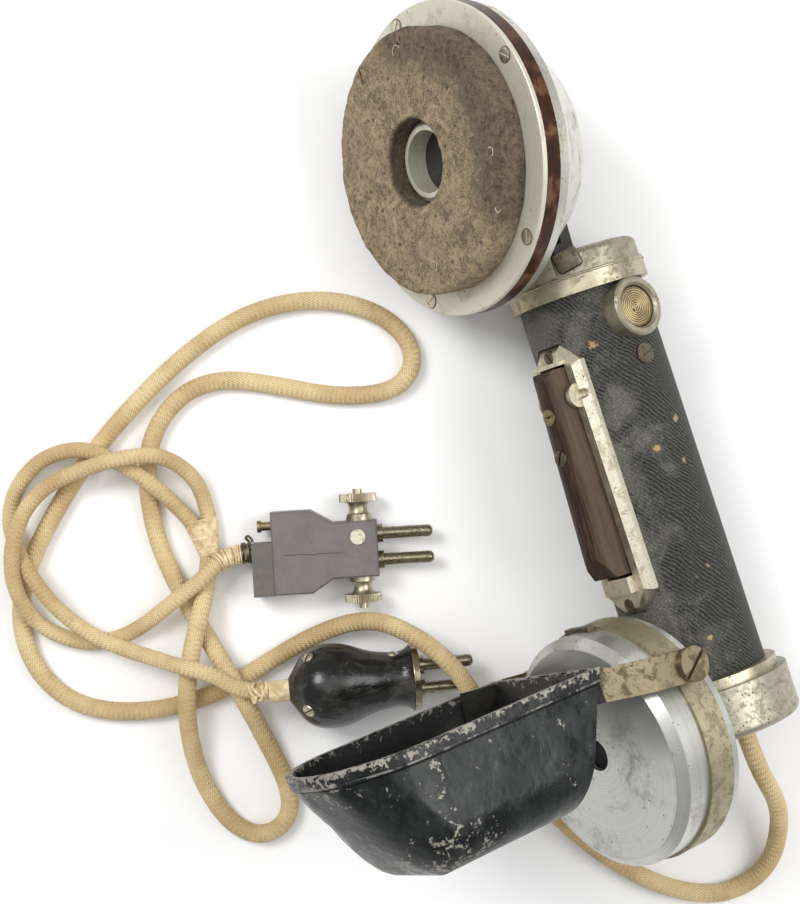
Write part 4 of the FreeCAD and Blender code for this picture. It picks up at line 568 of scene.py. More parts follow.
def braidMaterial(name, carriers, pitch):
    # two sets of threads that cross over and under, read from the cord's own map
    recipe = Recipe(name)
    there = recipe.node("ShaderNodeTexCoord", output="UV")
    u, v = recipe.split(there)[:2]
    here = recipe.coords()
    first = u * carriers + v / pitch
    second = u * carriers - v / pitch
    over = recipe.maths("FLOOR", first) + recipe.maths("FLOOR", second)
    over = recipe.maths("FLOORED_MODULO", over, 2.0)
    ridge = recipe.maths("SINE", recipe.maths("FRACT", first) * math.pi)
    crossing = recipe.maths("SINE", recipe.maths("FRACT", second) * math.pi)
    thread = ridge * over + crossing * (1 - over)
    strand = recipe.grain(recipe.joined(first, second, v * 0.4), 0.22, 2.0)
    soil = recipe.grain(here, 22.0, 4.0, 0.6)
    fuzz = recipe.grain(here, 0.45, 3.0, 0.7)
    stain = recipe.step(recipe.grain(here, 5.0, 5.0, 0.66, 0.6), 0.60, 0.74)
    colour = recipe.mix(recipe.step(soil, 0.34, 0.66), (0.56, 0.385, 0.180), (0.81, 0.635, 0.345))
    # painted shade in the gaps between the crossing threads
    colour = recipe.mix((1 - recipe.step(thread, 0.08, 0.62)) * 0.72, colour, (0.30, 0.19, 0.085))
    # painted highlight in light streaks along the threads
    colour = recipe.mix(recipe.step(strand, 0.5, 0.72) * 0.42, colour, (0.92, 0.79, 0.53))
    colour = recipe.mix(stain * 0.40, colour, (0.36, 0.24, 0.12))
    height = thread * 0.20 + fuzz * 0.10
    rough = 0.90 + (fuzz - 0.5) * 0.1
    return recipe.finish(colour, rough, 0.0, height, Sheen_Weight=0.08, Sheen_Roughness=0.5)


def stringMaterial():
    recipe = Recipe("creamString")
    here = recipe.coords()
    tone = recipe.grain(here, 3.0, 4.0, 0.6)
    fine = recipe.grain(here, 0.35, 3.0, 0.7)
    colour = recipe.mix(recipe.step(tone, 0.35, 0.7), (0.56, 0.41, 0.22), (0.88, 0.74, 0.48))
    colour = recipe.mix(recipe.step(fine, 0.5, 0.75) * 0.3, colour, (0.34, 0.23, 0.12))
    return recipe.finish(colour, 0.86, 0.0, fine * 0.08, Sheen_Weight=0.15)


plainLooks = {
    # darkest and lightest colour, roughness, size of the patches in mm
    "clampVulcanite": ((0.07, 0.060, 0.050), (0.17, 0.148, 0.125), 0.5, 4.0),
    # painted shade: the neck is coloured near black for the shaded gap between the cap and the shell
    "neckPaintedShade": ((0.006, 0.006, 0.006), (0.03, 0.028, 0.024), 0.5, 3.0),
    "brownFibreTube": ((0.05, 0.03, 0.015), (0.14, 0.085, 0.05), 0.6, 5.0),
    "blackInsulator": ((0.012, 0.011, 0.010), (0.05, 0.046, 0.04), 0.45, 3.0),
    "carbonDisc": ((0.02, 0.02, 0.021), (0.07, 0.07, 0.072), 0.55, 2.0),
    "blackedTin": ((0.004, 0.004, 0.004), (0.02, 0.018, 0.015), 0.5, 4.0),
    "magnetRed": ((0.22, 0.03, 0.02), (0.36, 0.06, 0.04), 0.45, 4.0),
    "silkWinding": ((0.10, 0.16, 0.07), (0.22, 0.30, 0.14), 0.6, 1.2),
    "lint": ((0.42, 0.37, 0.28), (0.80, 0.76, 0.66), 0.9, 1.0),
}


def plainStuff(name):
    dark, light, rough, size = plainLooks[name]
    recipe = Recipe(name)
    here = recipe.coords()
    broad = recipe.grain(here, size, 4.0, 0.6, 0.4)
    fine = recipe.grain(here, size * 0.12, 3.0, 0.7)
    colour = recipe.mix(broad * 0.7 + fine * 0.3, dark, light)
    return recipe.finish(colour, rough + (fine - 0.5) * 0.2, 0.0, fine * 0.04)


def buttonMaterial():
    recipe = Recipe("ringedBrass")
    here = recipe.coords(buttonPlace)
    x, y, z = recipe.split(here)
    out = recipe.maths("SQRT", x * x + y * y)
    ring = 0.5 + recipe.maths("SINE", out * (math.tau / 0.74)) * 0.5
    ring = ring * recipe.step(z, 22.2, 22.5)
    dirt = recipe.grain(here, 2.4, 5.0, 0.65)
    fine = recipe.grain(here, 0.4, 3.0, 0.7)
    dot = recipe.nearPoint(here, (1.5, 1.0, 22.7), 0.55, 0.2)
    colour = recipe.mix(ring, (0.17, 0.12, 0.055), (0.62, 0.51, 0.30))
    colour = recipe.mix(recipe.step(dirt, 0.45, 0.7) * 0.5, colour, (0.20, 0.145, 0.07))
    colour = recipe.mix(dot * 0.9, colour, (0.05, 0.035, 0.02))
    return recipe.finish(colour, 0.36 + fine * 0.2, 1.0, ring * 0.12 + fine * 0.02)


def dressNodes(material, *names):
    for name in names:
        node = cadNodes[name]
        node.data.materials.clear()
        node.data.materials.append(material)
        for face in node.data.polygons:
            face.material_index = 0


felt = feltMaterial()
leather = leatherMaterial()
enamel = enamelMaterial()
hornInside = hornInsideMaterial()
vulcanite = vulcaniteMaterial()
blackPear = pearMaterial()
creamString = stringMaterial()
ringSeats = {
    "radius": 44.4,
    "height": 36.7,
    "first": -30.0,
    "head": 2.15,
    "slotTurns": [20.0, 75.0, -35.0, 50.0, 10.0],
}


def ringScrewPlaces():
    # the ring's screws, evenly spaced, in the receiver's place
    places = []
    for number in range(len(ringSeats["slotTurns"])):
        turn = math.radians(ringSeats["first"] + 360 / len(ringSeats["slotTurns"]) * number)
        spot = (ringSeats["radius"] * math.cos(turn), ringSeats["radius"] * math.sin(turn))
        places.append((*spot, ringSeats["height"]))
    return places


metalLooks["silver"]["seats"] = [(spot, ringSeats["head"] + 0.15) for spot in ringScrewPlaces()]
ringMetal = wornMetal("silveredRing", receiverPlace, metalLooks["silver"])
capsuleMetal = wornMetal("capsuleAluminium", capsulePlace, metalLooks["aluminium"])
shellMetal = wornMetal("shellAluminium", receiverPlace, metalLooks["shell"])
capMetal = wornMetal("castCap", handlePlace, metalLooks["capMetal"])
collarNickel = wornMetal("collarNickel", handlePlace, metalLooks["nickel"])
bandNickel = wornMetal("bandNickel", capsulePlace, metalLooks["bandNickel"])
strapNickel = wornMetal("strapNickel", capsulePlace, metalLooks["strapMetal"])
frameMetal = wornMetal("frameAluminium", handlePlace, metalLooks["frameMetal"])
bracketMetal = wornMetal("castBracket", handlePlace, metalLooks["castMetal"])
screwBrass = wornMetal("screwBrass", None, metalLooks["brass"])
oldSteel = wornMetal("oldSteel", None, metalLooks["oldSteel"])
pinMetal = wornMetal("pinMetal", None, metalLooks["pinMetal"])
nutMetal = wornMetal("nutNickel", None, metalLooks["nickel"])
screwSilver = wornMetal("screwSilver", None, metalLooks["screwSilver"])
darkCast = wornMetal("dirtyCast", handlePlace, metalLooks["oldSteel"])
dressNodes(fibreMaterial(), "fibre_ring")
dressNodes(leather, "grip_sleeve")
hardwood = leverMaterial()
dressNodes(hardwood, "talk_lever")
dressNodes(enamel, "horn")
dressNodes(vulcanite, "flat_plug_body", "flat_plug_cover")
dressNodes(plainStuff("clampVulcanite"), "flat_plug_clamp")
dressNodes(blackPear, "pear_plug_lower", "pear_plug_upper")
dressNodes(ringMetal, "receiver_cap", "ring_screws")
dressNodes(shellMetal, "receiver_shell")
dressNodes(capsuleMetal, "mic_shell", "mic_back")
dressNodes(capMetal, "top_cap", "button_bezel")
dressNodes(collarNickel, "top_collar", "bottom_band")
dressNodes(bandNickel, "mic_band")
dressNodes(strapNickel, "horn_arms", "hinge_screws", "horn_rivets")
dressNodes(frameMetal, "lever_frame", "lever_pin")
dressNodes(bracketMetal, "end_bracket")
dressNodes(buttonMaterial(), "call_button")
dressNodes(screwBrass, "lever_screws", "button_housing", "mic_contact_spring")
dressNodes(screwBrass, "carbon_chamber", "flat_plug_socket")
# the neck's near-black finish is painted shade
dressNodes(plainStuff("neckPaintedShade"), "receiver_neck")
dressNodes(oldSteel, "handle_screws", "button_spring", "pole_pieces", "mic_clip", "switch_blades")
dressNodes(pinMetal, "flat_plug_pins", "pear_plug_pins", "pear_plug_plate")
dressNodes(screwSilver, "flat_plug_screw")
dressNodes(nutMetal, "thumb_washer_upper", "thumb_washer_lower", "thumb_studs")
dressNodes(creamString, "cord_bindings")
dressNodes(plainStuff("brownFibreTube"), "core_tube", "cord_gland")
dressNodes(plainStuff("blackInsulator"), "terminal_block", "mic_insulator")
dressNodes(plainStuff("carbonDisc"), "mic_diaphragm")
dressNodes(plainStuff("blackedTin"), "receiver_diaphragm")
dressNodes(plainStuff("magnetRed"), "receiver_magnet")
dressNodes(plainStuff("silkWinding"), "receiver_coils")
print("finishes are on the solids")

# helpers for new pieces

weldDistance = 0.0005  # mm


def keep(name, mesh, material, body="root"):
    piece = bpy.data.objects.new(name, mesh)
    bpy.context.scene.collection.objects.link(piece)
    mesh.materials.clear()
    mesh.materials.append(material)
    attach(piece, body)
    return piece


def smoothFaces(mesh):
    for face in mesh.polygons:
        face.use_smooth = True


def meshFrom(shape, name, place=None):
    # the shape is in millimetres in its place
    bmesh.ops.remove_doubles(shape, verts=shape.verts, dist=weldDistance)
    bmesh.ops.recalc_face_normals(shape, faces=shape.faces)
    bmesh.ops.scale(shape, vec=(mm, mm, mm), verts=shape.verts)
    if place:
        bmesh.ops.transform(shape, matrix=place, verts=shape.verts)
    mesh = bpy.data.meshes.new(name)
    shape.to_mesh(mesh)
    shape.free()
    smoothFaces(mesh)
    return mesh


def sharpen(piece, degrees):
    # faces that meet at more than this angle get a hard edge between them
    mesh = piece.data
    shape = bmesh.new()
    shape.from_mesh(mesh)
    for edge in shape.edges:
        if len(edge.link_faces) == 2 and edge.calc_face_angle(0) > math.radians(degrees):
            edge.smooth = False
    shape.to_mesh(mesh)
    shape.free()


def lathe(shape, profile, steps):
    # spins a run of (radius, height) points right round the z axis
    points = [shape.verts.new((radius, 0.0, height)) for radius, height in profile]
    edges = [shape.edges.new(pair) for pair in zip(points, points[1:])]
    bmesh.ops.spin(
        shape, geom=points + edges, cent=(0, 0, 0), axis=(0, 0, 1), dvec=(0, 0, 0),
        angle=math.tau, steps=steps, use_merge=True, use_duplicate=False,
    )
    bmesh.ops.remove_doubles(shape, verts=shape.verts, dist=weldDistance)


def smoothRun(corners, spacing):
    # fills in a run of points so that no step is longer than the spacing
    run = [corners[0]]
    for start, end in zip(corners, corners[1:]):
        pieces = max(1, math.ceil(math.dist(start, end) / spacing))
        for index in range(1, pieces + 1):
            share = index / pieces
            run.append(tuple(a + (b - a) * share for a, b in zip(start, end)))
    return run


# the felt on the receiver

earFelt = {
    "front": 47.3,
    "back": 36.75,
    "radius": 40.3,
    "backRadius": 40.0,
    "hole": 12.9,
    "edge": 2.6,
    "edgeSink": 0.35,
    "holeEdge": 1.3,
    "holeSink": 0.2,
    "crown": 0.35,
    "clump": 0.42,
    "clumpScale": 0.16,
    "tuft": 0.26,
    "tuftScale": 0.75,
    "sink": 0.25,
    "faceLift": 0.25,  # mm, the most that a tuft stands up
    "sideLift": 0.2,
    "sideDepth": 2.2,  # deeper than this below the face, tufts stand out sideways
    "stillBack": 0.8,  # the felt is left flat this far up from the ring
    "spacing": 1.15,
    "steps": 220,
}


def feltProfile():
    # the rounded section of the felt, from the hole's back edge right round
    front = earFelt["front"]
    rim = []
    for step in range(7):
        turn = math.radians(90 - 15 * step)
        out = earFelt["radius"] - earFelt["edge"] * (1 - math.cos(turn))
        rim.append((out, front - earFelt["edge"] * (1 - math.sin(turn)) - earFelt["edgeSink"]))
    inner = []
    for step in range(5):
        turn = math.radians(22.5 * step)
        out = earFelt["hole"] + earFelt["holeEdge"] * (1 - math.cos(turn))
        inner.append((out, front - earFelt["holeEdge"] * (1 - math.sin(turn)) - earFelt["holeSink"]))
    halfWay = (earFelt["hole"] + earFelt["radius"]) / 2
    middle = (halfWay, front + earFelt["crown"] - earFelt["edgeSink"])
    innerBack = (earFelt["hole"], earFelt["back"])
    return [innerBack, *inner, middle, *rim, (earFelt["backRadius"], earFelt["back"]), innerBack]


def makeEarFelt():
    shape = bmesh.new()
    lathe(shape, smoothRun(feltProfile(), earFelt["spacing"]), earFelt["steps"])
    halfWay = (earFelt["hole"] + earFelt["radius"]) / 2
    for vertex in shape.verts:
        place = vertex.co.copy()
        if place.z < earFelt["back"] + earFelt["stillBack"]:
            continue
        broad = noise.fractal(place * earFelt["clumpScale"], 0.6, 2.1, 4)
        tufts = noise.fractal(place * earFelt["tuftScale"] + Vector((7, 3, 1)), 0.6, 2.2, 3)
        lift = broad * earFelt["clump"] + tufts * earFelt["tuft"] - earFelt["sink"]
        outward = Vector((place.x, place.y, 0))
        if place.z < earFelt["front"] - earFelt["sideDepth"]:
            sign = 1 if outward.length > halfWay else -1
            vertex.co += outward.normalized() * sign * min(lift, earFelt["sideLift"])
        else:
            vertex.co.z += min(lift, earFelt["faceLift"])
    piece = keep("earFelt", meshFrom(shape, "earFelt", receiverPlace), felt)
    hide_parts("ear_pad")
    finer = piece.modifiers.new("finer", "SUBSURF")
    finer.levels = 1
    finer.render_levels = 1


makeEarFelt()
print("felt is on the receiver")

# cords: control points in millimetres, each line drawn through the same points as its solid

cordShift = (50.53822, 20.72126)  # mm, from the routes' own origin to the frame's
cordLooks = {
    "main": {"width": 5.9, "carriers": 20, "pitch": 1.6},
    "branch": {"width": 5.1, "carriers": 18, "pitch": 1.5},
}
mainRoute = [
    (11.6, -158.7, 13.5), (9.2, -169.6, 8), (4.1, -178.2, 4.8), (-4.7, -183.3, 3),
    (-17.1, -183.4, 3), (-32.3, -175.1, 3), (-45.6, -161.2, 3), (-56.6, -144.5, 3),
    (-63.8, -128.4, 3.2), (-67.4, -111.5, 7.5), (-70.6, -95, 15.5), (-75.5, -81.1, 18),
    (-83.7, -70.2, 16), (-94.3, -62.4, 9.5), (-109.2, -61.5, 4), (-127.5, -64.9, 3),
    (-147.1, -70.5, 3), (-168.1, -70.6, 3), (-186.9, -65.2, 3), (-198.7, -56.2, 3),
    (-204.7, -42.9, 3), (-204.2, -27.6, 3), (-197.3, -13.7, 3), (-185.1, -0.6, 3),
    (-169.3, 13.2, 3), (-151.9, 24.7, 3), (-128.8, 36.7, 3), (-105, 44.4, 3),
    (-83.1, 43.1, 3), (-66.1, 35.2, 3), (-56.7, 24.3, 3), (-54.9, 13.7, 3),
    (-60.7, 6.7, 3), (-70.2, 5.7, 3), (-85.2, 10.2, 3), (-101.2, 19.2, 3),
    (-116.9, 26.7, 3), (-131.6, 26, 3), (-144.1, 17, 3), (-150.6, 3.3, 3),
    (-153.6, -15.3, 3), (-151.8, -33.3, 3.2), (-148.2, -49.6, 3.4), (-144.3, -62.7, 9.9),
    (-141.5, -75.9, 9.5), (-139.5, -90.6, 4.2), (-137.5, -104.2, 3), (-138.6, -113.8, 3),
    (-144.4, -119.1, 3), (-152.2, -118.9, 3), (-159, -112.3, 3), (-162.7, -101.5, 3),
    (-163.8, -89.5, 4.5), (-161.5, -75.9, 9.2), (-157.1, -62.9, 10.6), (-151.7, -52.4, 10.7),
    (-146.1, -43.2, 9.7), (-141.7, -34.5, 4),
]
flatRoute = [
    (-134.3, -9.2, 3.6), (-135.6, 0.2, 7.6), (-142.6, 9, 12.8), (-155.4, 11.8, 15.8),
    (-169.5, 12.1, 11.4), (-182.1, 10.6, 8.6), (-191.4, 4.5, 10.6), (-198.1, -6.4, 13.2),
    (-201, -18.1, 11.2), (-199, -30, 7), (-191, -39.1, 3.4), (-180.3, -43.7, 2.6),
    (-168.4, -43, 3.2), (-157.9, -39.1, 8), (-148.2, -35.6, 10.6), (-140.5, -32.8, 11.6),
]
pearRoute = [
    (-142.6, -10.6, 4), (-147.6, -0.6, 9.3), (-155.7, 9.8, 9.4), (-166, 18.9, 9.3),
    (-179.7, 20.3, 5), (-191.4, 14.2, 2.8), (-197.4, 4.8, 3.2), (-197.2, -6.4, 6.8),
    (-194.4, -16.5, 11.2), (-190.1, -28.5, 9.8), (-183.1, -38.7, 8.8), (-175.2, -46, 9),
    (-167, -51.3, 12), (-157.9, -57.1, 16.6), (-147.9, -62.9, 17.4),
]


def inFrame(route):
    shiftX, shiftY = cordShift
    return [(x + shiftX, y + shiftY, z) for x, y, z in route]


cordLines = {
    "mainCord": [
        (57.911, -109.432, 20.549), (57.911, -122.431, 20.708),
        *inFrame(mainRoute), (-87.892, -5.629, 3.2),
    ],
    "flatBranch": [
        (-84.755, 4.343, 3.2),
        *inFrame(flatRoute), (-82.804, -7.533, 6.9), (-74.095, -9.802, 6.5),
    ],
    "pearBranch": [
        (-89.948, 4.620, 3.2),
        *inFrame(pearRoute), (-89.032, -51.950, 15.924), (-75.922, -54.929, 14.7),
    ],
}


def splineMesh(name, points, radius=0.0, sides=0, smoothness=12):
    # the mesh of one NURBS line, a tube where it has a radius, all in millimetres
    curve = bpy.data.curves.new(name, "CURVE")
    curve.dimensions = "3D"
    curve.resolution_u = smoothness
    curve.bevel_depth = radius * mm
    curve.bevel_resolution = sides
    curve.use_fill_caps = radius > 0
    spline = curve.splines.new("NURBS")
    spline.points.add(len(points) - 1)
    for index, point in enumerate(points):
        spline.points[index].co = (*(Vector(point) * mm), 1.0)
    spline.order_u = 3
    spline.use_endpoint_u = True
    holder = bpy.data.objects.new(name + "Line", curve)
    bpy.context.scene.collection.objects.link(holder)
    bpy.context.view_layer.update()
    mesh = bpy.data.meshes.new_from_object(holder)
    bpy.data.objects.remove(holder)
    bpy.data.curves.remove(curve)
    return mesh


def linePoints(name):
    mesh = splineMesh(name + "Path", cordLines[name])
    points = [vertex.co.copy() for vertex in mesh.vertices]
    bpy.data.meshes.remove(mesh)
    return points


def mapTube(mesh, ring, lines):
    # u goes once round the cord, v is the length along it in millimetres
    count = len(lines)
    along = [0.0]
    for start, end in zip(lines, lines[1:]):
        along.append(along[-1] + (end - start).length / mm)
    layer = mesh.uv_layers.new(name="braidMap") if not mesh.uv_layers else mesh.uv_layers[0]
    for face in mesh.polygons:
        indices = [mesh.loops[loop].vertex_index for loop in face.loop_indices]
        sides = [index % ring for index in indices]
        wraps = max(sides) - min(sides) > ring / 2
        for loop, index in zip(face.loop_indices, indices):
            side = index % ring
            row = min(index // ring, count - 1)
            turn = side + ring if wraps and side < ring / 2 else side
            layer.data[loop].uv = (turn / ring, along[row])


def makeCord(name, node, look):
    path = linePoints(name)
    mesh = splineMesh(name, cordLines[name], look["width"] / 2, 6)
    ring = len(mesh.vertices) // len(path)
    mapTube(mesh, ring, path)
    smoothFaces(mesh)
    braid = braidMaterial(name + "Braid", look["carriers"], look["pitch"])
    piece = keep(name, mesh, braid)
    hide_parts(node)
    print(name, "has", ring, "vertices a ring and", len(path), "rings")


# string whippings and wire, wound round a line

flatPath = linePoints("flatBranch")
pearPath = linePoints("pearBranch")


def windAround(name, middles, binding):
    # one long strand wound along a few middle points, with half widths and half heights there
    widths = binding["widths"]
    heights = binding["heights"]
    turns = binding["turns"]
    count = int(turns * 14)
    spots = []
    for index in range(count + 1):
        share = index / count
        along = share * (len(middles) - 1)
        low = min(int(along), len(middles) - 2)
        part = along - low
        middle = Vector(middles[low]).lerp(Vector(middles[low + 1]), part)
        forward = (Vector(middles[low + 1]) - Vector(middles[low])).normalized()
        side = forward.cross(Vector((0, 0, 1))).normalized()
        up = side.cross(forward).normalized()
        width = widths[low] + (widths[low + 1] - widths[low]) * part
        height = heights[low] + (heights[low + 1] - heights[low]) * part
        turn = math.tau * share * turns
        wander = noise.noise(Vector((index * 0.09, turns, 3.3))) * binding["wander"]
        around = side * math.cos(turn) * width + up * math.sin(turn) * height
        spots.append(middle + around + forward * wander)
    mesh = splineMesh(name, spots, binding["strand"] / 2, 2, smoothness=2)
    smoothFaces(mesh)
    return keep(name, mesh, creamString)


def stretchOf(path, fromEnd, length, count):
    # count middle points in millimetres on the last part of a path, fromEnd before its end
    distances = [0.0]
    backwards = list(reversed(path))
    for start, end in zip(backwards, backwards[1:]):
        distances.append(distances[-1] + (end - start).length / mm)
    middles = []
    for index in range(count):
        wanted = fromEnd + length * (1 - index / (count - 1))
        for low in range(len(distances) - 1):
            if distances[low + 1] >= wanted:
                break
        gap = max(distances[low + 1] - distances[low], 1e-6)
        part = (wanted - distances[low]) / gap
        middles.append(backwards[low].lerp(backwards[low + 1], part) / mm)
    return middles


splitMiddles = [(-87.9, -6.6, 3.4), (-87.9, -2.0, 3.4), (-87.6, 2.6, 3.4), (-87.4, 5.6, 3.5)]
splitBinding = {
    "widths": [3.15, 3.7, 4.9, 5.3],
    "heights": [3.05, 3.0, 2.95, 2.8],
    "strand": 0.62,
    "turns": 20.0,
    "wander": 0.5,
}
flatBinding = {
    "fromEnd": 1.4,
    "length": 11.0,
    "widths": [2.95, 2.95, 2.9, 2.9, 2.85, 2.75],
    "heights": [2.95, 2.95, 2.9, 2.9, 2.85, 2.75],
    "strand": 0.72,
    "turns": 15.0,
    "wander": 0.6,
}
pearBinding = {
    "fromEnd": 0.2,
    "length": 7.6,
    "widths": [3.0, 2.95, 2.9, 2.9, 2.9],
    "heights": [3.0, 2.95, 2.9, 2.9, 2.9],
    "strand": 0.66,
    "turns": 12.0,
    "wander": 0.4,
}


def bindEnd(name, path, binding):
    count = len(binding["widths"])
    return windAround(name, stretchOf(path, binding["fromEnd"], binding["length"], count), binding)


splitWhipping = windAround("splitWhipping", splitMiddles, splitBinding)
flatWhipping = bindEnd("flatPlugWhipping", flatPath, flatBinding)
pearWhipping = bindEnd("pearPlugWhipping", pearPath, pearBinding)
knotValues = {
    "fromEnd": 9.5,
    "wide": 2.1,
    "long": 2.9,
    "lift": 2.3,
    "wave": 0.9,
    "strand": 1.0,
    "points": 140,
}


def makeKnot():
    # a lump of string with loose turns across it, on the cord just before the pear plug
    spot = stretchOf(pearPath, knotValues["fromEnd"], 0.5, 2)[0]
    loops = []
    for index in range(knotValues["points"]):
        turn = math.tau * index / (knotValues["points"] - 1)
        loops.append(spot + Vector((
            knotValues["wide"] * math.cos(2 * turn + 0.7),
            knotValues["long"] * math.cos(3 * turn + 0.2),
            knotValues["lift"] + knotValues["wave"] * math.cos(7 * turn),
        )))
    mesh = splineMesh("pearKnot", loops, knotValues["strand"] / 2, 2, smoothness=2)
    smoothFaces(mesh)
    return keep("pearKnot", mesh, creamString)


pearKnot = makeKnot()
print("string is wound")

plugCoil = {
    "turns": 4.2,
    "radius": 3.0,
    "wire": 0.85,
    "start": -11.0,
    "end": -7.9,
    "middle": 0.35,
    "points": 72,
    "tail": [
        (-8.4, 4.3, 2.0), (-9.6, 5.2, 3.0), (-8.9, 6.1, 3.4), (-7.6, 5.4, 3.2), (-7.2, 3.8, 3.0),
    ],
}


def makePlugCoil():
    # the dark spring wire at the flat plug, with its free end curled up beside it
    spots = []
    for index in range(plugCoil["points"]):
        share = index / (plugCoil["points"] - 1)
        turn = math.tau * plugCoil["turns"] * share
        radius = plugCoil["radius"] + 0.25 * math.sin(turn * 0.4)
        spots.append((
            plugCoil["start"] + (plugCoil["end"] - plugCoil["start"]) * share,
            plugCoil["middle"] + radius * math.cos(turn),
            radius * math.sin(turn),
        ))
    spots = [flatPlace @ (Vector(spot) * mm) / mm for spot in spots + plugCoil["tail"]]
    mesh = splineMesh("plugCoil", spots, plugCoil["wire"] / 2, 2, smoothness=4)
    smoothFaces(mesh)
    piece = keep("plugCoil", mesh, oldSteel)
    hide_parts("cord_coil")
    return piece


plugCoilPiece = makePlugCoil()

# knurled thumb nuts of the flat plug

thumbNut = {
    "discRadius": 6.0,
    "discTop": 17.4,
    "discBottom": 14.9,
    "teeth": 46,
    "toothDepth": 0.42,
    "neckRadius": 2.9,
    "footRadius": 3.9,
    "foot": 9.95,
    "hub": 2.0,
    "dishEdge": 0.35,
    "dishDepth": 0.12,
    "x": 27.3,
}


def makeThumbNut(name, node, body, side):
    top = thumbNut["discTop"]
    bottom = thumbNut["discBottom"]
    foot = thumbNut["foot"]
    shape = bmesh.new()
    rim = bmesh.ops.create_circle(
        shape, segments=thumbNut["teeth"] * 2, radius=thumbNut["discRadius"], cap_ends=True,
    )
    for index, vertex in enumerate(rim["verts"]):
        if index % 2:
            vertex.co *= 1 - thumbNut["toothDepth"] / thumbNut["discRadius"]
    bmesh.ops.translate(shape, vec=(0, 0, bottom), verts=shape.verts)
    thick = bmesh.ops.extrude_face_region(shape, geom=list(shape.faces))
    raised = [part for part in thick["geom"] if isinstance(part, bmesh.types.BMVert)]
    bmesh.ops.translate(shape, vec=(0, 0, top - bottom), verts=raised)
    caps = [face for face in shape.faces if len(face.verts) > 8]
    bmesh.ops.inset_region(
        shape, faces=caps, thickness=thumbNut["dishEdge"], depth=thumbNut["dishDepth"],
        use_even_offset=True,
    )
    neck = [
        (thumbNut["hub"], top + 0.05), (thumbNut["hub"], bottom + 0.2),
        (3.9, bottom + 0.1), (3.25, bottom - 0.7),
        (thumbNut["neckRadius"], bottom - 1.6), (thumbNut["neckRadius"], foot + 1.9),
        (3.2, foot + 1.2), (thumbNut["footRadius"], foot + 0.9),
        (thumbNut["footRadius"], foot), (1.6, foot),
    ]
    lathe(shape, neck, 40)
    # turned from the z axis to the plug's side
    turn = Matrix.Rotation(math.radians(-90 * side), 4, "X")
    bmesh.ops.transform(shape, matrix=turn, verts=shape.verts)
    bmesh.ops.translate(shape, vec=(thumbNut["x"], 0, 0), verts=shape.verts)
    piece = keep(name, meshFrom(shape, name, flatPlace), nutMetal, body)
    sharpen(piece, 30.0)
    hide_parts(node)


makeThumbNut("thumbNutUpper", "thumb_nut_upper", "nut_upper", 1)
makeThumbNut("thumbNutLower", "thumb_nut_lower", "nut_lower", -1)
print("thumb nuts are cut")

# slotted screws

# shares of the head's radius and of its dome's height
headProfile = [(1.0, 0.0), (0.9, 0.5), (0.55, 0.88), (0.0, 1.0)]


def makeScrew(name, place, head, slotTurn, material, body="root"):
    # the place is in millimetres: the middle of the seat, and the way the head faces
    middle, facing = place
    radius = head["radius"]
    wall = head["height"] * 0.55
    dome = head["dome"]
    shape = bmesh.new()
    crown = [(radius * out, wall + dome * up) for out, up in headProfile]
    lathe(shape, [(radius, 0.0), *crown], 32)
    for offset in (-head["slot"] / 2, head["slot"] / 2):
        bmesh.ops.bisect_plane(
            shape, geom=list(shape.verts) + list(shape.edges) + list(shape.faces),
            plane_co=(offset, 0, 0), plane_no=(1, 0, 0), dist=weldDistance,
        )
    grooveFloor = wall + dome * 0.2
    groove = []
    for face in shape.faces:
        spot = face.calc_center_median()
        if abs(spot.x) < head["slot"] / 2 and spot.z > head["height"] * 0.4:
            groove.append(face)
    sunk = bmesh.ops.extrude_face_region(shape, geom=groove)
    bmesh.ops.delete(shape, geom=groove, context="FACES")
    for part in sunk["geom"]:
        if isinstance(part, bmesh.types.BMVert):
            part.co.z = min(part.co.z, grooveFloor) - head["height"] * 0.35
            part.co.y *= 0.97
    turn = Matrix.Rotation(math.radians(slotTurn), 4, "Z")
    towards = Vector(facing).to_track_quat("Z", "Y").to_matrix().to_4x4()
    bmesh.ops.transform(shape, matrix=towards @ turn, verts=shape.verts)
    bmesh.ops.translate(shape, vec=Vector(middle), verts=shape.verts)
    piece = keep(name, meshFrom(shape, name), material, body)
    sharpen(piece, 32.0)
    return piece


pearScrews = {
    "spots": [(-66.6, -46.4), (-71.3, -62.2), (-40.9, -54.2)],
    "radii": [1.9, 2.1, 1.9],
    "slotTurns": [-42.0, -8.0, 30.0],
    "height": 0.9,
    "dome": 0.55,
    "slot": 0.5,
    "sunk": 0.5,
}


def makePearScrews():
    # each is where a ray from above meets the pear's upper half
    node = cadNodes["pear_plug_upper"]
    rows = zip(pearScrews["spots"], pearScrews["radii"], pearScrews["slotTurns"])
    for number, ((x, y), radius, turn) in enumerate(rows, 1):
        hit, spot, normal = node.ray_cast(Vector((x, y, 80.0)) * mm, Vector((0, 0, -1)))[:3]
        if not hit:
            print("no pear under screw", number)
            continue
        seat = spot / mm - normal * pearScrews["sunk"]
        head = {**pearScrews, "radius": radius}
        makeScrew("pearScrew" + str(number), (seat, normal), head, turn, screwSilver)


makePearScrews()
print("screws are in the pear plug")

ringScrews = {"radius": ringSeats["head"], "height": 0.8, "dome": 0.12, "slot": 0.62, "sunk": 0.25}


def makeRingScrews():
    facing = (receiverPlace.to_3x3() @ Vector((0, 0, 1))).normalized()
    for number, (place, turn) in enumerate(zip(ringScrewPlaces(), ringSeats["slotTurns"]), 1):
        seat = receiverPlace @ (Vector(place) * mm) / mm - facing * ringScrews["sunk"]
        name = "ringScrew" + str(number)
        screw = makeScrew(name, (seat, facing), ringScrews, turn, screwSilver)
        if number == 1:
            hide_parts("ring_screws")


makeRingScrews()
print("screws are in the ring")

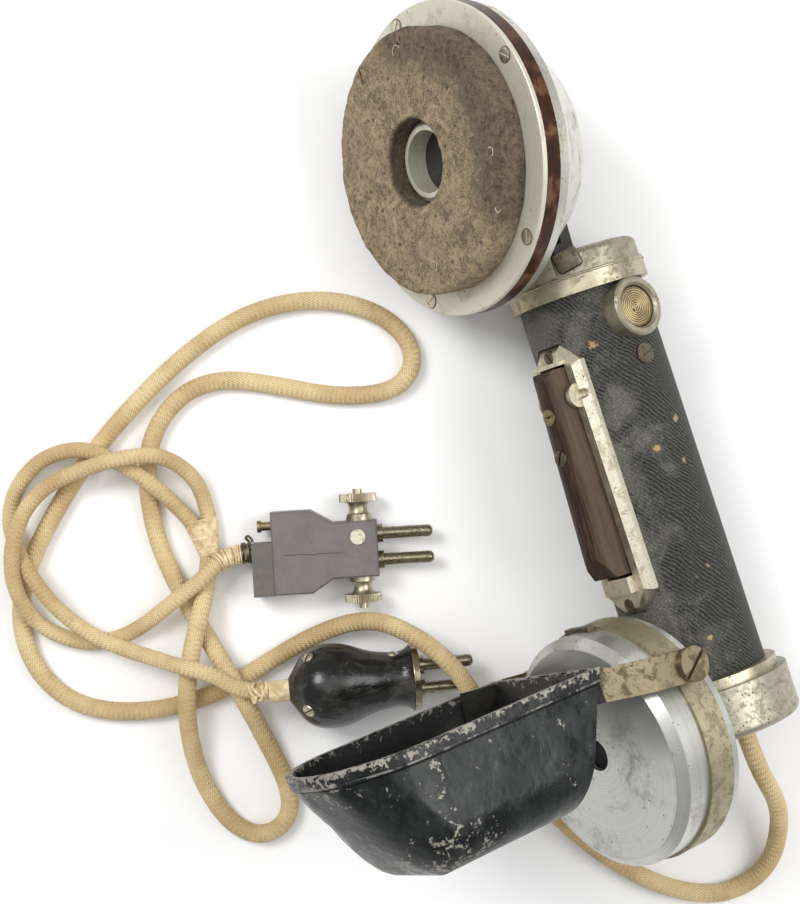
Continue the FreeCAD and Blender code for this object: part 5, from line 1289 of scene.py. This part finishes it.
leverScrews = {
    "heights": [-18.6, -31.6],
    "slotTurns": [8.0, 60.0],
    "radius": 2.55,
    "height": 0.8,
    "dome": 0.2,
    "slot": 0.7,
    "sunk": 0.2,
}


def makeLeverScrews():
    # each is where a ray from the front meets the lever
    node = cadNodes["talk_lever"]
    facing = (handlePlace.to_3x3() @ Vector((1, 0, 0))).normalized()
    rows = zip(leverScrews["heights"], leverScrews["slotTurns"], (screwBrass, oldSteel))
    for number, (height, turn, finish) in enumerate(rows, 1):
        start = handlePlace @ (Vector((60.0, 0.0, height)) * mm)
        spot, normal = node.ray_cast(start, -facing)[1:3]
        seat = spot / mm - normal * leverScrews["sunk"]
        name = "leverScrew" + str(number)
        screw = makeScrew(name, (seat, normal), leverScrews, turn, finish, "lever")
        if number == 1:
            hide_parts("lever_screws")


makeLeverScrews()
print("screws are in the lever")

# small fittings at the cap: the lug and the plate beside it, and the collar's bead

capFittings = {
    "lug": {
        "turn": 47.0, "height": 25.2, "size": (3.4, 8.2, 6.6), "out": 21.4,
        "bevel": 1.3, "lean": 10.0,
    },
    "plate": {
        "turn": 24.0, "height": 24.2, "size": (1.2, 8.6, 6.4), "out": 21.6,
        "bevel": 0.5, "lean": 0.0,
    },
    "bead": {"radius": 22.1, "height": 20.2, "thick": 0.42},
}


def makeCapBlock(name, values, material):
    shape = bmesh.new()
    bmesh.ops.create_cube(shape, size=1.0)
    bmesh.ops.scale(shape, vec=values["size"], verts=shape.verts)
    bmesh.ops.bevel(
        shape, geom=list(shape.edges), offset=values["bevel"], offset_type="OFFSET", segments=2,
        profile=0.5, affect="EDGES", material=-1, clamp_overlap=True,
    )
    lean = Matrix.Rotation(math.radians(values["lean"]), 4, "X")
    bmesh.ops.transform(shape, matrix=lean, verts=shape.verts)
    bmesh.ops.translate(shape, vec=(values["out"], 0, values["height"]), verts=shape.verts)
    turn = Matrix.Rotation(math.radians(values["turn"]), 4, "Z")
    bmesh.ops.transform(shape, matrix=turn, verts=shape.verts)
    piece = keep(name, meshFrom(shape, name, handlePlace), material)
    sharpen(piece, 40.0)


makeCapBlock("capLug", capFittings["lug"], darkCast)
makeCapBlock("capPlate", capFittings["plate"], capMetal)


def makeCollarBead():
    bead = capFittings["bead"]
    rounds = []
    for step in range(9):
        turn = math.tau * step / 8
        out = bead["radius"] + bead["thick"] * math.cos(turn)
        rounds.append((out, bead["height"] + bead["thick"] * math.sin(turn)))
    shape = bmesh.new()
    lathe(shape, rounds, 120)
    keep("collarBead", meshFrom(shape, "collarBead", handlePlace), collarNickel)


makeCollarBead()
print("cap fittings are on")

# smooth copies of solids that come with flat facets


def smoothCopy(name, node, body, material, degrees, bevel=0.0):
    source = cadNodes[node]
    shape = bmesh.new()
    shape.from_mesh(source.data)
    bmesh.ops.remove_doubles(shape, verts=shape.verts, dist=0.00001)
    mesh = bpy.data.meshes.new(name)
    shape.to_mesh(mesh)
    shape.free()
    smoothFaces(mesh)
    piece = keep(name, mesh, material, body)
    sharpen(piece, degrees)
    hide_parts(node)
    if bevel:
        soft = piece.modifiers.new("soft", "BEVEL")
        soft.width = bevel * mm
        soft.segments = 2
        soft.limit_method = "ANGLE"
        soft.angle_limit = math.radians(30)
        soft.harden_normals = True
    return piece


horn = smoothCopy("speakingHorn", "horn", "horn_assembly", enamel, 42.0)
smoothCopy("talkLever", "talk_lever", "lever", hardwood, 38.0, 1.1)


hornMouth = {"x": -28.5, "y": 1.5, "lip": -27.6, "facing": 0.4}


def blackenInside():
    # the faces that look at the horn's mouth get the plain black of its inside
    horn.data.materials.append(hornInside)
    toCapsule = capsulePlace.inverted()
    for face in horn.data.polygons:
        spot = toCapsule @ face.center / mm
        facing = (toCapsule.to_3x3() @ face.normal).normalized()
        inwards = Vector((hornMouth["x"] - spot.x, hornMouth["y"] - spot.y, 0.0))
        if spot.x > hornMouth["lip"] and facing.dot(inwards) > hornMouth["facing"]:
            face.material_index = 1


blackenInside()
print("horn and lever are smoothed")

# pale lint on the felt

lintValues = {
    # across, up, radius, first angle and sense of each curl
    "curls": [
        (-33.0, 5.5, 1.9, 100, 1), (31.5, -3.0, 1.7, 200, -1), (8.5, 36.0, 1.3, 10, 1),
        (14.5, -18.0, 1.8, 160, -1), (-16.5, -12.5, 1.4, 80, 1), (24.5, 33.0, 1.1, 60, -1),
    ],
    "height": 47.25,
    "thick": 0.10,
    "bend": 24,  # degrees from one point to the next
    "wave": 0.12,
}


def makeLint():
    whole = bmesh.new()
    for x, y, radius, start, sense in lintValues["curls"]:
        run = []
        for step in range(9):
            turn = math.radians(start + sense * step * lintValues["bend"])
            reach = radius + lintValues["wave"] * math.sin(step * 2.1)
            spot = (x + reach * math.cos(turn), y + reach * math.sin(turn), lintValues["height"])
            run.append(receiverPlace @ (Vector(spot) * mm) / mm)
        strand = splineMesh("strand", run, lintValues["thick"], 1, smoothness=4)
        whole.from_mesh(strand)
        bpy.data.meshes.remove(strand)
    bmesh.ops.recalc_face_normals(whole, faces=whole.faces)
    mesh = bpy.data.meshes.new("feltLint")
    whole.to_mesh(mesh)
    whole.free()
    keep("feltLint", mesh, plainStuff("lint"))


makeLint()
print("lint is on the felt")

makeCord(
    "mainCord", "cord_main", cordLooks["main"],
)
makeCord(
    "flatBranch", "cord_branch_flat", cordLooks["branch"],
)
makeCord(
    "pearBranch", "cord_branch_pear", cordLooks["branch"],
)
print("cords are laid")

# floor, lights and the room's light

studio = {
    "floor": (0.93, 0.93, 0.93),
    "floorShade": (0.91605, 0.91605, 0.91605),
    "floorRough": 0.85,
    "room": 0.44,
    # power, place and size of each lamp, in mm
    "key": (6.6, (-420, 520, 900), 420),
    "fill": (4.4, (620, -120, 640), 520),
    "top": (2.2, (60, 120, 1100), 700),
}


def addStudio():
    shape = bmesh.new()
    bmesh.ops.create_grid(shape, x_segments=2, y_segments=2, size=3.0)
    mesh = bpy.data.meshes.new("paperFloor")
    shape.to_mesh(mesh)
    shape.free()
    floor = bpy.data.objects.new("paperFloor", mesh)
    bpy.context.scene.collection.objects.link(floor)
    recipe = Recipe("palePaper")
    here = recipe.coords()
    tone = recipe.grain(here, 60.0, 3.0)
    paper = recipe.mix(tone, studio["floor"], studio["floorShade"])
    mesh.materials.append(recipe.finish(paper, studio["floorRough"]))
    for name in ("key", "fill", "top"):
        power, place, size = studio[name]
        lamp = bpy.data.lights.new(name, "AREA")
        lamp.energy = power
        lamp.size = size * mm
        holder = bpy.data.objects.new(name, lamp)
        bpy.context.scene.collection.objects.link(holder)
        holder.location = Vector(place) * mm
        holder.rotation_euler = (Vector(place) * mm).to_track_quat("Z", "Y").to_euler()
    world = bpy.data.worlds.new("room")
    bpy.context.scene.world = world
    world.use_nodes = True
    world.node_tree.nodes["Background"].inputs[0].default_value = (1, 1, 1, 1)
    world.node_tree.nodes["Background"].inputs[1].default_value = studio["room"]
    bpy.context.scene.view_settings.view_transform = "Standard"


addStudio()
print("floor and lights are set")
